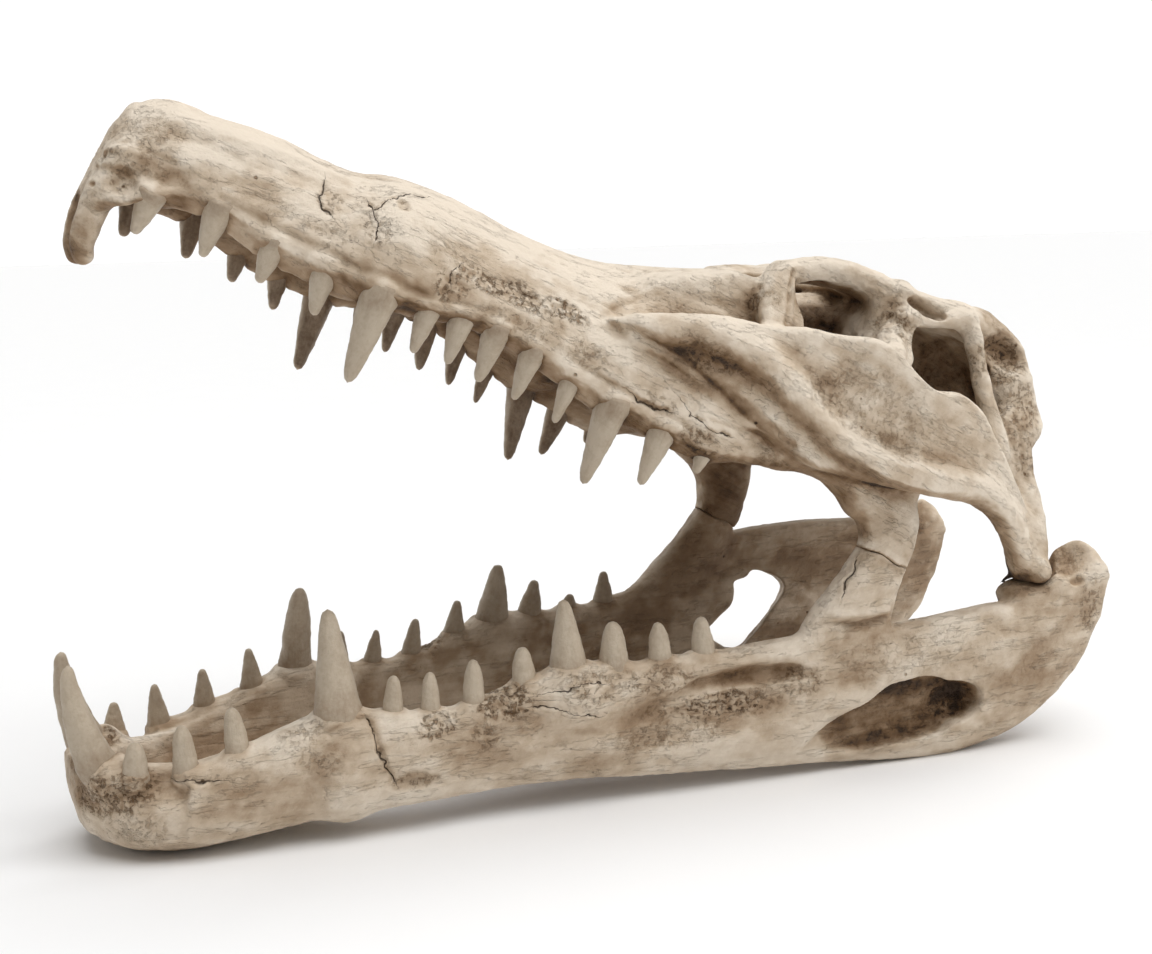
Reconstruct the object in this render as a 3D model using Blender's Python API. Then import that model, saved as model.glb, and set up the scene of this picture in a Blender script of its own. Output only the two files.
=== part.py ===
"""Crocodile skull: a cast display model, jaws open, in fourteen solids.

The skull is sculpted as two blocks of digital clay, the upper skull and the
lower jaw, by adding and cutting simple shapes that blend where they meet.
Each block is meshed once, thinned to a light mesh and parted by thin plane
cuts where a person would name the parts.

World frame: +X runs from the snout tip to the back, +Y to the animal's right,
+Z up, and the floor is z = 0. Sizes below are millimetres, with x counted from
the chin: ORIGIN is where the finished part's origin lies. The upper skull is
drawn in its own frame: u runs forward from the jaw joint along the snout, v is
square to it, and the frame is turned up by GAPE about the jaw joint.
"""

import math

import bmesh
import bpy
import numpy as np
import openvdb

# ---------------------------------------------------------------- dimensions
MM = 0.001
VOXEL = 1.25
FAR = 50.0
GAPE = math.radians(28.0)
JOINT_X = 275.0
JOINT_Z = 46.0
BLOCK_LOW = (-8.0, 0.0, -3.0)
BLOCK_HIGH = (304.0, 56.0, 198.0)
ORIGIN = (146.4, 0.0, 0.0)
JAW_GAP = 0.6
CUT_GAP = 0.3
SKULL_TRIANGLES = 4150
JAW_TRIANGLES = 2800
SHORTEST_EDGE = 0.00002
LEFT = -1
RIGHT = 1
SIDES = ((LEFT, "left"), (RIGHT, "right"))

# The boxes that part the two bodies: ranges along, across and up, in the
# skull's frame for the first four and in the world's for the rest.
SNOUT_END = 116.0
SNOUT_BOX = ((SNOUT_END, -80.0, -90.0), (400.0, 80.0, 200.0))
CHEEK_BOX = ((24.0, SNOUT_END - CUT_GAP), (34.0, 60.0), (-20.0, 46.0))
HINGE_BOX = ((-30.0, 24.0 - CUT_GAP), (16.0, 60.0), (-30.0, 34.0))
POST_BOX = ((30.0, 104.0), (26.0, 60.0), (-60.0, -4.0))
HEEL_BOX = ((250.0, 320.0), (0.0, 60.0), (0.0, 90.0))
RAMUS_BOX = ((-20.0, 250.0 - CUT_GAP), (CUT_GAP / 2, 60.0), (0.0, 90.0))
FOOT_BOX = {
    LEFT: ((188.0, 245.0), (26.0, 60.0), (43.5, 90.0)),
    RIGHT: ((178.0, 214.0), (26.0, 60.0), (48.0, 90.0)),
}
BONE_COLOUR = (0.62, 0.54, 0.44, 1.0)
BONE_ROUGHNESS = 0.72


# ------------------------------------------------------------ small functions
def profile(*knots):
    """A smooth curve through (station, value) knots, level beyond both ends."""
    station, value = np.array(knots, dtype=float).T
    slope = np.gradient(value, station)

    def at(position):
        place = np.clip(position, station[0], station[-1])
        index = np.clip(np.searchsorted(station, place, side="right") - 1, 0, len(station) - 2)
        span = station[index + 1] - station[index]
        t = (place - station[index]) / span
        rise = value[index + 1] - value[index]
        bend_in = slope[index] * span - rise
        bend_out = rise - slope[index + 1] * span
        return value[index] + rise * t + t * (1 - t) * (bend_in * (1 - t) + bend_out * t)

    return at


def smooth_path(points, steps):
    """Points on a Catmull-Rom curve through the given points."""
    knots = [np.array(point, dtype=float) for point in points]
    knots = [2 * knots[0] - knots[1]] + knots + [2 * knots[-1] - knots[-2]]
    path = []
    for index in range(1, len(knots) - 2):
        before, start, end, after = knots[index - 1:index + 3]
        for t in np.arange(steps) / steps:
            path.append(0.5 * (2 * start + (end - before) * t
                               + (2 * before - 5 * start + 4 * end - after) * t ** 2
                               + (3 * start - before - 3 * end + after) * t ** 3))
    path.append(knots[-2])
    return path


def smooth_min(first, second, blend):
    """The lower of two fields, rounded where they cross."""
    weight = np.clip(0.5 + 0.5 * (second - first) / blend, 0.0, 1.0)
    return second + (first - second) * weight - blend * weight * (1.0 - weight)


def smooth_max(first, second, blend):
    """The higher of two fields, rounded where they cross."""
    return -smooth_min(-first, -second, blend)


# --------------------------------------------------------------------- shapes
class Shape:
    """A distance rule with the box that it needs: low and high corners."""

    def __init__(self, low, high, distance):
        self.low = np.array(low, dtype=float)
        self.high = np.array(high, dtype=float)
        self.distance = distance


def ball(centre, radii):
    """An ellipsoid."""
    centre = np.array(centre, dtype=float)
    radii = np.array(radii, dtype=float)

    def distance(a, y, c):
        p = ((a - centre[0]) / radii[0], (y - centre[1]) / radii[1], (c - centre[2]) / radii[2])
        near = np.sqrt(p[0] ** 2 + p[1] ** 2 + p[2] ** 2)
        steep = np.sqrt((p[0] / radii[0]) ** 2 + (p[1] / radii[1]) ** 2 + (p[2] / radii[2]) ** 2)
        return near * (near - 1.0) / np.maximum(steep, 1e-6)

    return Shape(centre - radii, centre + radii, distance)


def horn(points, radii, steps=4, flat=1.0):
    """A round tapered bar along a curve; flat below 1 makes it thin across y."""
    path = smooth_path(points, steps)
    knots = np.linspace(0.0, 1.0, len(radii))
    girth = np.interp(np.linspace(0.0, 1.0, len(path)), knots, radii)
    spread = max(radii)

    def distance(a, y, c):
        best = None
        for start, end, wide, narrow in zip(path[:-1], path[1:], girth[:-1], girth[1:]):
            run = (end - start) * (1.0, 1.0 / flat, 1.0)
            pa = a - start[0]
            py = (y - start[1]) / flat
            pc = c - start[2]
            t = np.clip((pa * run[0] + py * run[1] + pc * run[2]) / (run @ run), 0.0, 1.0)
            away = np.sqrt((pa - run[0] * t) ** 2 + (py - run[1] * t) ** 2 + (pc - run[2] * t) ** 2)
            reach = (away - (wide + (narrow - wide) * t)) * min(flat, 1.0)
            best = reach if best is None else np.minimum(best, reach)
        return best

    return Shape(np.min(path, axis=0) - spread, np.max(path, axis=0) + spread, distance)


def loft(start, end, section):
    """A solid along a; section(a) gives its middle y, half width, low, high and two powers."""
    stations = np.linspace(start, end, 30)
    sizes = [section(station) for station in stations]
    low = (start, min(s[0] - s[1] for s in sizes), min(s[2] for s in sizes))
    high = (end, max(s[0] + s[1] for s in sizes), max(s[3] for s in sizes))

    def distance(a, y, c):
        middle, half, bottom, top, power_y, power_c = section(a)
        half = np.maximum(half, 0.3)
        tall = np.maximum((top - bottom) / 2.0, 0.3)
        across = np.abs(y - middle) / half
        up = np.abs(c - (top + bottom) / 2.0) / tall
        rim = (across ** power_y + up ** power_c) ** (1.0 / max(power_y, power_c))
        steep = np.sqrt((across / half) ** 2 + (up / tall) ** 2) / np.maximum(np.hypot(across, up), 1e-6)
        side = (rim - 1.0) / np.maximum(steep, 1e-6)
        return np.maximum(side, np.maximum(start - a, a - end))

    return Shape(low, high, distance)


def plate(outline, middle, half, edge, steps=4):
    """A plate with a smooth outline in the a-c plane, set at y = middle(a, c)."""
    ring = np.array(smooth_path(list(outline) + [outline[0]], steps)[:-1])
    ends = np.roll(ring, -1, axis=0)
    low = (ring[:, 0].min(), -FAR, ring[:, 1].min())
    high = (ring[:, 0].max(), 2 * FAR, ring[:, 1].max())

    def distance(a, y, c):
        near = np.full(np.broadcast(a, c).shape, FAR ** 2)
        inside = np.zeros(near.shape, dtype=bool)
        for (a0, c0), (a1, c1) in zip(ring, ends):
            run_a = a1 - a0
            run_c = c1 - c0
            t = np.clip(((a - a0) * run_a + (c - c0) * run_c) / (run_a ** 2 + run_c ** 2), 0.0, 1.0)
            near = np.minimum(near, (a - a0 - run_a * t) ** 2 + (c - c0 - run_c * t) ** 2)
            if c0 != c1:
                inside ^= ((c0 > c) != (c1 > c)) & (a < a0 + (c - c0) * run_a / run_c)
        border = np.sqrt(near) * np.where(inside, -1.0, 1.0)
        return smooth_max(border, np.abs(y - middle(a, c)) - half(a, c), edge)

    return Shape(low, high, distance)


def level(value):
    """A function of place that is the same everywhere."""
    return lambda a, c: value


def slanted(shape, middle, along, up):
    """A shape that leans: it moves along and up as y goes past its middle."""
    spread = np.array((abs(along), 0.0, abs(up))) * abs(shape.high[1] - middle)

    def distance(a, y, c):
        return shape.distance(a - along * (y - middle), y, c - up * (y - middle))

    return Shape(shape.low - spread, shape.high + spread, distance)


# ---------------------------------------------------------------------- clay
def world_place(x, z):
    """Coordinates in the world frame."""
    return x, z


def skull_place(x, z):
    """World x and z as u and v of the upper skull."""
    ahead = JOINT_X - x
    above = z - JOINT_Z
    u = ahead * math.cos(GAPE) + above * math.sin(GAPE)
    v = above * math.cos(GAPE) - ahead * math.sin(GAPE)
    return u, v


def skull_to_world(u, v):
    """u and v of the upper skull as world x and z."""
    ahead = u * math.cos(GAPE) - v * math.sin(GAPE)
    above = u * math.sin(GAPE) + v * math.cos(GAPE)
    return JOINT_X - ahead, JOINT_Z + above


class Clay:
    """A block of clay: signed distances on a regular grid, first of one half only."""

    def __init__(self):
        self.low = np.array(BLOCK_LOW)
        counts = np.ceil((np.array(BLOCK_HIGH) - self.low) / VOXEL).astype(int) + 1
        self.field = np.full(counts, FAR, dtype=np.float32)

    def _window(self, shape, frame, reach):
        """The part of the grid that a shape can change, and the places in it."""
        corners = [(a, c) for a in (shape.low[0], shape.high[0]) for c in (shape.low[2], shape.high[2])]
        if frame is skull_place:
            corners = [skull_to_world(a, c) for a, c in corners]
        corners = np.array(corners)
        low = np.array((corners[:, 0].min(), shape.low[1], corners[:, 1].min())) - reach
        high = np.array((corners[:, 0].max(), shape.high[1], corners[:, 1].max())) + reach
        first = np.clip(np.floor((low - self.low) / VOXEL).astype(int), 0, self.field.shape)
        last = np.clip(np.ceil((high - self.low) / VOXEL).astype(int) + 1, 0, self.field.shape)
        axes = [self.low[i] + VOXEL * np.arange(first[i], last[i]) for i in range(3)]
        a, c = frame(axes[0][:, None, None], axes[2][None, None, :])
        window = tuple(slice(i, j) for i, j in zip(first, last))
        return window, (a, axes[1][None, :, None], c)

    def add(self, shape, blend=1.0, frame=world_place):
        """Add a shape, with a fillet of about the blend's size."""
        window, places = self._window(shape, frame, blend + 3 * VOXEL)
        if self.field[window].size:
            self.field[window] = smooth_min(self.field[window], shape.distance(*places), blend)

    def cut(self, shape, blend=1.0, frame=world_place):
        """Cut a shape away, with a rounded edge of about the blend's size."""
        window, places = self._window(shape, frame, blend + 3 * VOXEL)
        if self.field[window].size:
            self.field[window] = smooth_max(self.field[window], -shape.distance(*places), blend)

    def mirror(self):
        """Grow the other half: from here on both sides are there."""
        self.field = np.concatenate([self.field[:, :0:-1], self.field], axis=1)
        self.low[1] = -VOXEL * (self.field.shape[1] // 2)

    def keep_clear_of(self, other, gap):
        """Take away what is nearer to the other block than the gap."""
        self.field = np.maximum(self.field, gap - other.field)


# ----------------------------------------------------------------- lower jaw
JAW_BOTTOM = profile((-3, 18), (-0.8, 8.6), (3, 4.4), (9, 1.2), (18, -0.5), (32, -0.2), (42, 2.2), (54, 4.6),
                     (80, 7.0), (108, 8.2), (150, 6.0), (195, 3.0), (225, 0.3), (243, -0.4), (256, 1.4),
                     (268, 5.6), (281.5, 14.5), (291.2, 26), (296.4, 41), (297.2, 47))
RAMUS_BOTTOM = profile((24, 6.5), (34, 4.6), (48, 5.2), (62, 6.0), (80, 7.0), (108, 7.6), (150, 5.6),
                       (195, 2.6), (225, 0.3), (243, -0.4), (256, 1.4), (268, 5.6), (281.5, 14.5),
                       (291.2, 26), (296.4, 41), (297.2, 47))
JAW_RIM = profile((-4, 25), (0, 27), (8, 25), (24, 24), (38, 27.2), (52, 31.5), (64, 34), (78, 32), (98, 32),
                  (112, 36.5), (126, 38.5), (150, 38.3), (170, 38.8), (190, 40), (226, 40.3), (254, 42.8),
                  (268, 44.5), (276, 50), (281, 56.5), (287.5, 59.3), (292, 57.4), (295.4, 53.6),
                  (297.0, 49.4), (297.2, 47.6))
JAW_ROW = profile((0, 10), (12, 18.5), (25, 20.5), (40, 21.8), (63, 22.8), (78, 26), (100, 27), (125, 29.2),
                  (150, 32), (190, 35.5), (226, 38.6), (255, 40.4), (297.2, 40.5))
JAW_HALF = profile((20, 4.5), (62, 6.5), (80, 5.2), (105, 5.4), (126, 6.4), (150, 5.8), (190, 6.2),
                   (226, 6.8), (255, 6.6), (285, 5.8), (297.2, 4.6))
CHIN_WIDTH = profile((-3, 0.3), (-2.6, 5), (-0.6, 10), (4, 15.5), (10, 20.5), (18, 23.8), (30, 25.8),
                     (46, 26.5), (62, 27.5), (80, 28))
TROUGH_WIDTH = profile((7, 1), (13, 8.5), (24, 13.5), (42, 16.5), (64, 17.5), (92, 21))
TROUGH_FLOOR = profile((7, 24), (13, 16), (24, 11.5), (45, 9.5), (60, 4), (72, -6), (92, -20))
WINDOW_WALL = ((200, 10), (206, 30), (224, 38), (240, 32), (244, 22), (232, 10), (214, 6))
FENESTRA = ((188, 6), (199, 15), (212, 20.5), (219, 24.5), (231, 25.5), (240, 22), (248.5, 16), (240, 10),
            (228, 6.8), (206, 5.5))
FAR_WINDOW = ((203.9, 24), (205.3, 19.9), (211, 16.2), (216.2, 16), (220.7, 19.9), (227.4, 26.4),
              (232.2, 32.6), (231.9, 36.2), (228.2, 38.9), (221.5, 41.4), (218.5, 39.3), (214.2, 38.2),
              (213.7, 34.6), (212.6, 30.8), (208.3, 27.4))
WINDOW_Y = 38.0
WINDOW_LEAN = (0.5, -0.26)
SLOT = ((132, 38.6, 17), (144, 38.2, 24), (158, 38.6, 29.6), (172, 39.4, 31.6), (186, 40.6, 31.6),
        (193, 42.5, 30.8))
POST_HEEL = ((168, 34, 35), (184, 35, 40), (196, 36.5, 47), (204, 37, 55))
BOWL = ((136, 43.4, 14), (152, 45.4, 20), (170, 47.6, 23.5), (188, 49.6, 25.5))
STRUT_FRONT = profile((36, 192.5), (42, 193.8), (46, 196.2), (50.5, 201), (60, 209.6), (64, 212.8),
                      (70, 212.4), (77.5, 208.4), (84, 202), (92, 194))
STRUT_BACK = profile((36, 222.5), (46, 224), (55, 227), (60, 230), (66, 231.4), (77, 231.4), (92, 234))
STRUT_SHIFT = {-1: profile((0, 0), (100, 0)), 1: profile((56, -13.6), (66, -12.6), (74, -10.5), (90, -9.5))}
STRUT_Y = 37.0
STRUT_THICK = 4.8
STRUT_POWER = 2.6
STRUT_NARROWING = {-1: 0.0, 1: 2.0}
CRACK_X = 215.0
CRACK_Z = 63.0
CRACK_SLOPE = -0.56

# Teeth of the lower jaw: station along the jaw, height of the tip, thickness,
# lean back, lean inward. The fourth and ninth are the great teeth.
LOWER_TEETH = (
    (11.8, 31.0, 6.0, 0.4, 0.0), (24.0, 34.2, 6.0, -0.6, 0.5), (37.0, 36.8, 6.0, -0.6, 2.2),
    (63.0, 57.6, 11.0, 0.6, 8.0), (76.8, 41.0, 5.2, 0.6, 0.4), (86.8, 40.2, 5.2, 0.9, 2.4),
    (98.8, 42.0, 5.8, 1.0, 2.4), (112.8, 45.6, 6.2, 0.6, 2.2), (125.4, 55.0, 9.8, 0.8, 4.4),
    (138.2, 48.3, 7.6, 1.0, 2.6), (151.6, 47.0, 6.4, 0.2, 1.8), (164.4, 47.5, 6.4, -0.2, 1.2),
)
WORN_TOOTH = 112.8
SLIM_TOOTH = 63.0
SLIM_THICKNESS = 8.2
LATE_TOOTH = (50.5, 40.7, 6.0, -0.9, 2.0)
WORN_HEIGHT = 44.0
FANG = ((7.6, 11, 20), (2.6, 10.4, 29), (-0.5, 9.3, 38), (-1.5, 8.2, 44.5), (-0.7, 7.4, 49.4))
BROKEN_TOOTH = 151.6
BROKEN_HEIGHT = 42.0


def tooth(base, tip, thickness, bow=0.0):
    """A blunt cone with its root sunk behind the base, bowed forward by bow."""
    base = np.array(base, dtype=float)
    tip = np.array(tip, dtype=float)
    length = np.linalg.norm(tip - base)
    root = base - (tip - base) * (0.35 * thickness / length)
    middle = (base + tip) / 2 - np.array((bow, 0.0, 0.0))
    wide = thickness / 2
    blunt = max(0.95, 0.12 * thickness)
    radii = (wide * 1.04, wide, wide * 0.86, wide * 0.66, wide * 0.42 + 0.25, blunt)
    path = smooth_path([root, middle, tip], 5)
    return horn(path[::2] + [tip], radii, steps=2, flat=0.9)


def add_lower_tooth(clay, side, station, height, thickness, lean, inward):
    """One lower tooth, from its station to its tip."""
    row = JAW_ROW(station)
    base = (station, side * row, JAW_RIM(station) - 0.8)
    tip = (station + lean, side * (row - inward), height)
    clay.add(tooth(base, tip, thickness), blend=0.8)


def add_lower_teeth(clay):
    """The tooth rows and front fangs of both sides, worn and broken where they are so."""
    for side in (LEFT, RIGHT):
        for station, height, thickness, lean, inward in LOWER_TEETH:
            if side == LEFT and station == WORN_TOOTH:
                height = WORN_HEIGHT
            if side == RIGHT and station == BROKEN_TOOTH:
                height = BROKEN_HEIGHT
            if side == RIGHT and station == SLIM_TOOTH:
                thickness = SLIM_THICKNESS
            add_lower_tooth(clay, side, station, height, thickness, lean, inward)
        fang = [(along, side * across, up) for along, across, up in FANG]
        clay.add(horn(fang, (5.4, 4.7, 3.6, 2.7, 1.5), steps=4, flat=0.88), blend=1.2)
    add_lower_tooth(clay, RIGHT, *LATE_TOOTH)


def strut(side, low, high):
    """The post that joins the palate to the lower jaw on one side, cut to a height range."""

    def distance(x, y, z):
        front = STRUT_FRONT(z) + STRUT_SHIFT[side](z)
        back = STRUT_BACK(z) + STRUT_SHIFT[side](z) - STRUT_NARROWING[side]
        along = np.abs(x - (front + back) / 2) / ((back - front) / 2)
        across = np.abs(side * y - STRUT_Y) / STRUT_THICK
        rim = (along ** STRUT_POWER + across ** STRUT_POWER) ** (1 / STRUT_POWER)
        post = (rim - 1.0) * STRUT_THICK
        return np.maximum(post, np.maximum(low - z, z - high))

    row = sorted((side * (STRUT_Y - 5.5), side * (STRUT_Y + 5.5)))
    return Shape((180, row[0], low), (242, row[1], high), distance)


def above_crack(side, x, z, offset):
    """How far a place is above the slanting joint between the two castings."""
    shift = STRUT_SHIFT[side](CRACK_Z)
    return (z - (CRACK_Z + CRACK_SLOPE * (x - CRACK_X - shift)) - offset) / math.hypot(1.0, CRACK_SLOPE)


def jaw_post(side):
    """The part of a strut that belongs to the lower jaw."""
    post = strut(side, 30, 74)

    def distance(x, y, z):
        return np.maximum(post.distance(x, y, z), above_crack(side, x, z, -JAW_GAP / 2))

    return Shape(post.low, post.high, distance)


def skull_post(side):
    """The part of a strut that belongs to the upper skull."""
    post = strut(side, 50, 92)

    def distance(x, y, z):
        return np.maximum(post.distance(x, y, z), -above_crack(side, x, z, JAW_GAP / 2))

    return Shape(post.low, post.high, distance)


def make_jaw():
    """The lower jaw with its teeth."""
    clay = Clay()
    clay.add(loft(-3, 80, lambda a: (0.0, CHIN_WIDTH(a), JAW_BOTTOM(a), JAW_RIM(a), 2.6, 2.6)))
    clay.add(loft(24, 297.2, lambda a: (JAW_ROW(a), JAW_HALF(a), RAMUS_BOTTOM(a), JAW_RIM(a), 2.6, 3.0)),
             blend=3.0)
    clay.add(ball((64, 23.5, 19), (9, 7.5, 14)), blend=5.0)
    clay.add(ball((126, 30, 30.5), (9, 6.2, 9)), blend=5.0)
    clay.cut(loft(7, 92, lambda a: (0.0, TROUGH_WIDTH(a), TROUGH_FLOOR(a), 70.0 + 0 * a, 2.2, 2.2)),
             blend=2.0)
    clay.cut(horn(SLOT, (0.9, 2.0, 2.4, 2.9, 3.2, 2.0)), blend=1.5)
    clay.cut(horn(BOWL, (5.0, 8.8, 9.4, 7.0)), blend=2.5)
    clay.cut(plate(FENESTRA, level(48.0), level(7.8), 2.0), blend=1.0)
    clay.cut(ball((241, 45.5, 16.5), (8.5, 6.5, 6.0)), blend=2.0)
    clay.cut(ball((226, 45.8, 12.0), (14, 6.2, 5.0)), blend=2.0)
    clay.cut(ball((283, 47, 60), (8.5, 9, 12)), blend=2.0)
    clay.cut(ball((272, 38, 54), (9, 8, 8)), blend=1.5)
    clay.add(ball((270, 37.5, 44.2), (8, 6, 4.4)), blend=2.0)
    clay.mirror()
    clay.add(jaw_post(LEFT), blend=1.5)
    clay.add(jaw_post(RIGHT), blend=3.0)
    clay.add(horn(POST_HEEL, (3.0, 5.0, 6.5, 6.0), flat=0.8), blend=3.0)
    web = plate(((204, 40), (208, 53), (232, 55.8), (262, 54.6), (286, 52), (286, 38), (240, 34)),
                level(38.5), level(3.6), 2.5)
    web.low[1] = 30.0
    web.high[1] = 46.0
    clay.add(web, blend=3.0)
    wall = plate(WINDOW_WALL, level(38.2), level(5.4), 2.5)
    wall.low[1] = 30.0
    wall.high[1] = 46.0
    clay.add(wall, blend=2.0)
    window = plate(FAR_WINDOW, level(WINDOW_Y), level(16.0), 2.0)
    window.low[1] = 24.0
    window.high[1] = 52.0
    clay.cut(slanted(window, WINDOW_Y, *WINDOW_LEAN), blend=1.0)
    add_lower_teeth(clay)
    return clay


# --------------------------------------------------------------- upper skull
SNOUT_WIDTH = profile((100, 30), (112, 38), (123, 39.5), (139, 37), (155, 35), (170, 33), (185, 31.5),
                      (205, 31.5), (219, 31), (229, 28), (240, 24), (252, 21), (264, 18.5), (274, 16.5),
                      (281, 14.5), (286, 11.5), (289.2, 7.5), (290.6, 4), (291.2, 0.5))
SNOUT_TOP = profile((100, 40), (112, 42), (120, 41.5), (134, 38.2), (146, 33.6), (157, 29.2), (166, 26.8),
                    (176, 25.4), (188, 24.4), (207, 24.4), (216, 23.4), (224, 21.8), (230, 19.2),
                    (236, 17.8), (250, 17.5), (262, 16.6), (273, 14.3), (282, 12.6), (286, 9.6),
                    (289.4, 4.6), (290.8, -4), (291.2, -11))
SNOUT_MARGIN = profile((96, -1.4), (106, -5.8), (122, -9.8), (139, -9), (154, -8.6), (167, -7), (183, -5),
                       (195, -5.2), (208, -7.8), (219, -9.8), (230, -10.4), (248, -9.8), (262, -7.6),
                       (270, -9.4), (275, -11.6), (279, -15.0), (283, -18), (286, -19), (290.8, -19))
PALATE_LOW = profile((52, 9.5), (62, 7.5), (77, 4), (90, 1.5), (104, -2), (128, -6))
GUM_RIDGE = profile((104, 0), (114, 3), (134, 4.5), (150, 5), (165, 4.5), (190, 4), (262, 4.8), (272, 3.5),
                    (280, 0))
PALATE_ARCH = profile((96, 7), (150, 7), (220, 6), (262, 4), (285, 1))

CORE_HALF = profile((20, 16), (32, 20), (60, 20), (90, 16), (112, 19), (132, 26))
CORE_TOP = profile((20, 46), (34, 58), (60, 59), (86, 53), (100, 47), (112, 41.5), (132, 35))
CORE_LOW = profile((20, 30), (34, 14), (60, 9), (80, 5), (100, 0), (132, -5))
TABLE_TOP = profile((44, 64), (58, 62.4), (70, 60.6), (84, 60), (92, 58))
# Points of the bar over the eye: u, y, v, and how much of BROW_BACK it is moved by.
BROW = ((116.5, 26, 45.5, 1.0), (113, 26.5, 48.9, 1.0), (106, 26.5, 53.1, 1.0), (98, 27, 56.0, 0.6),
        (88, 27, 57.4, 0.0))
BROW_BACK = {-1: 0.0, 1: 8.5}
# Outlines of the wall behind the eye and of the blade before it, in u and v.
POST_ORBIT = ((88, 56), (84, 58.5), (78, 58), (75.3, 52), (75, 45), (74, 40), (77, 35), (86, 35),
              (86, 41), (86, 48))
FRONTAL = ((150, 27), (146, 30.6), (141, 34.2), (134.6, 37.6), (129.9, 40.2), (123.6, 41.4), (114, 43),
           (111, 37), (114, 28), (122, 26.5), (134, 24), (146, 19.5), (151, 20))
BLADE = ((119, 49), (115.5, 49.5), (114, 45.5), (110.5, 40.5), (107, 35), (107, 27), (117, 26), (122, 33),
         (123.2, 40), (121.8, 45.5))

UPPER_TEETH = (
    (276.3, 7.8, 7.6, -0.6, 3.5), (261.0, 10.8, 8.0, -1.9, 5.0), (246.0, 8.4, 7.4, -1.2, 3.0),
    (232.9, 9.6, 7.2, -2.4, 1.6), (218.9, 21.8, 9.0, -2.6, 2.6), (206.0, 10.6, 6.4, -1.8, 2.4),
    (197.0, 11.2, 6.6, -2.0, 1.2), (186.9, 12.3, 7.6, -2.5, 4.0), (175.7, 11.6, 6.8, -1.9, 3.2),
    (163.4, 10.8, 5.4, -1.1, 0.8), (150.3, 20.6, 9.0, -3.9, 4.8), (134.6, 14.1, 7.4, -0.6, 0.2),
)
UPPER_STUB = (121.3, 4.6, 5.4, -0.2, 0.0)
HOOK = ((284.0, 7.5, -6), (286.5, 6.8, -17), (285.8, 5.8, -27), (284.2, 5, -31.0))
FAR_GUM = ((276, 10.5, -11.6), (270, 11.7, -10.6), (262, 13.3, -9.8), (246, 16.8, -11.9), (232, 21.4, -12.4),
           (214, 25.6, -10.6))
TOOTH_INSET = 3.6
FAR_TOOTH_EXTRA = {-1: 0.0, 1: 0.8}

JUGAL = ((163, 11.5), (150, 17), (134, 25), (119, 29.5), (111, 33), (101, 36), (92, 39), (84, 39), (75, 36),
         (67, 35), (59, 37.5), (50, 36), (40, 31), (24, 22), (6, 12.5), (-1, 6), (2, 0), (9, -1), (21, 11.5),
         (30, 16), (42, 16.2), (58, 10.2), (76, 3.2), (92, 0), (104, 1), (118, 4), (133, 7.5), (150, 9.5))
JUGAL_OUT = profile((-2, 38.5), (10, 40.5), (28, 44), (48, 46.5), (70, 47.5), (90, 46.5), (105, 43.5),
                    (120, 40), (135, 37), (150, 34), (166, 30.5))
JUGAL_RIDGE = ((152, 33.5, 13), (138, 36.5, 19), (120, 40, 20), (104, 43.5, 15), (88, 46.5, 9),
               (66, 47.2, 10), (46, 46.2, 15.0), (28, 44, 13.7), (10, 40.5, 4.4))


def snout():
    """The snout: a dome over an arched palate."""
    def section(u):
        height = SNOUT_TOP(u) - SNOUT_MARGIN(u)
        return 0.0, SNOUT_WIDTH(u), SNOUT_MARGIN(u) - height, SNOUT_TOP(u), 2.3, 2.0

    dome = loft(102, 291.2, section)

    def distance(u, y, v):
        width = SNOUT_WIDTH(u)
        arch = PALATE_ARCH(u) * (1.0 - np.clip(y / width, 0.0, 1.2) ** 2)
        gum = GUM_RIDGE(u) * np.exp(-((y - width + 5.6) / 3.4) ** 2)
        palate = SNOUT_MARGIN(u) + arch - gum - v
        return smooth_max(dome.distance(u, y, v), palate, 3.0)

    return Shape((102, 0, -22), (291, 44, 52), distance)


def wall_middle(u, v):
    """y of the wall behind the eye: further in at the front, further out below."""
    return 34.0 - 0.7 * (u - 75.0) + 0.5 * np.clip(46.0 - v, 0.0, 10.0)


def frontal_middle(u, v):
    """y of the middle of the roof before the eye: it narrows forward."""
    return 21.0 - 0.25 * np.clip(u - 130.0, 0.0, 30.0)


def blade(side):
    """The blade of bone between the eye's opening and the snout on one side."""
    back = BROW_BACK[side]
    outline = [(along - back * min(1.0, max(0.0, (up - 28) / 13)), up) for along, up in BLADE]
    shape = plate(outline, lambda a, c: side * (33.0 - 0.26 * (c - 28.0)), level(3.4), 2.5)
    shape.low[1], shape.high[1] = sorted((side * 20.0, side * 40.0))
    return shape


def add_upper_teeth(clay):
    """The upper tooth rows, and the short stub at their ends."""
    for side in (LEFT, RIGHT):
        for station, length, thickness, lean, inward in UPPER_TEETH + (UPPER_STUB,):
            row = SNOUT_WIDTH(station) - TOOTH_INSET
            base = (station, side * row, SNOUT_MARGIN(station) + 0.8)
            reach = length + FAR_TOOTH_EXTRA[side]
            tip = (station + lean, side * (row - inward), SNOUT_MARGIN(station) - reach)
            clay.add(tooth(base, tip, thickness), blend=0.8, frame=skull_place)
        hook = [(along, side * across, up) for along, across, up in HOOK]
        clay.add(horn(hook, (5.0, 3.8, 3.2, 2.7), steps=5), blend=2.5, frame=skull_place)


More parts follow.
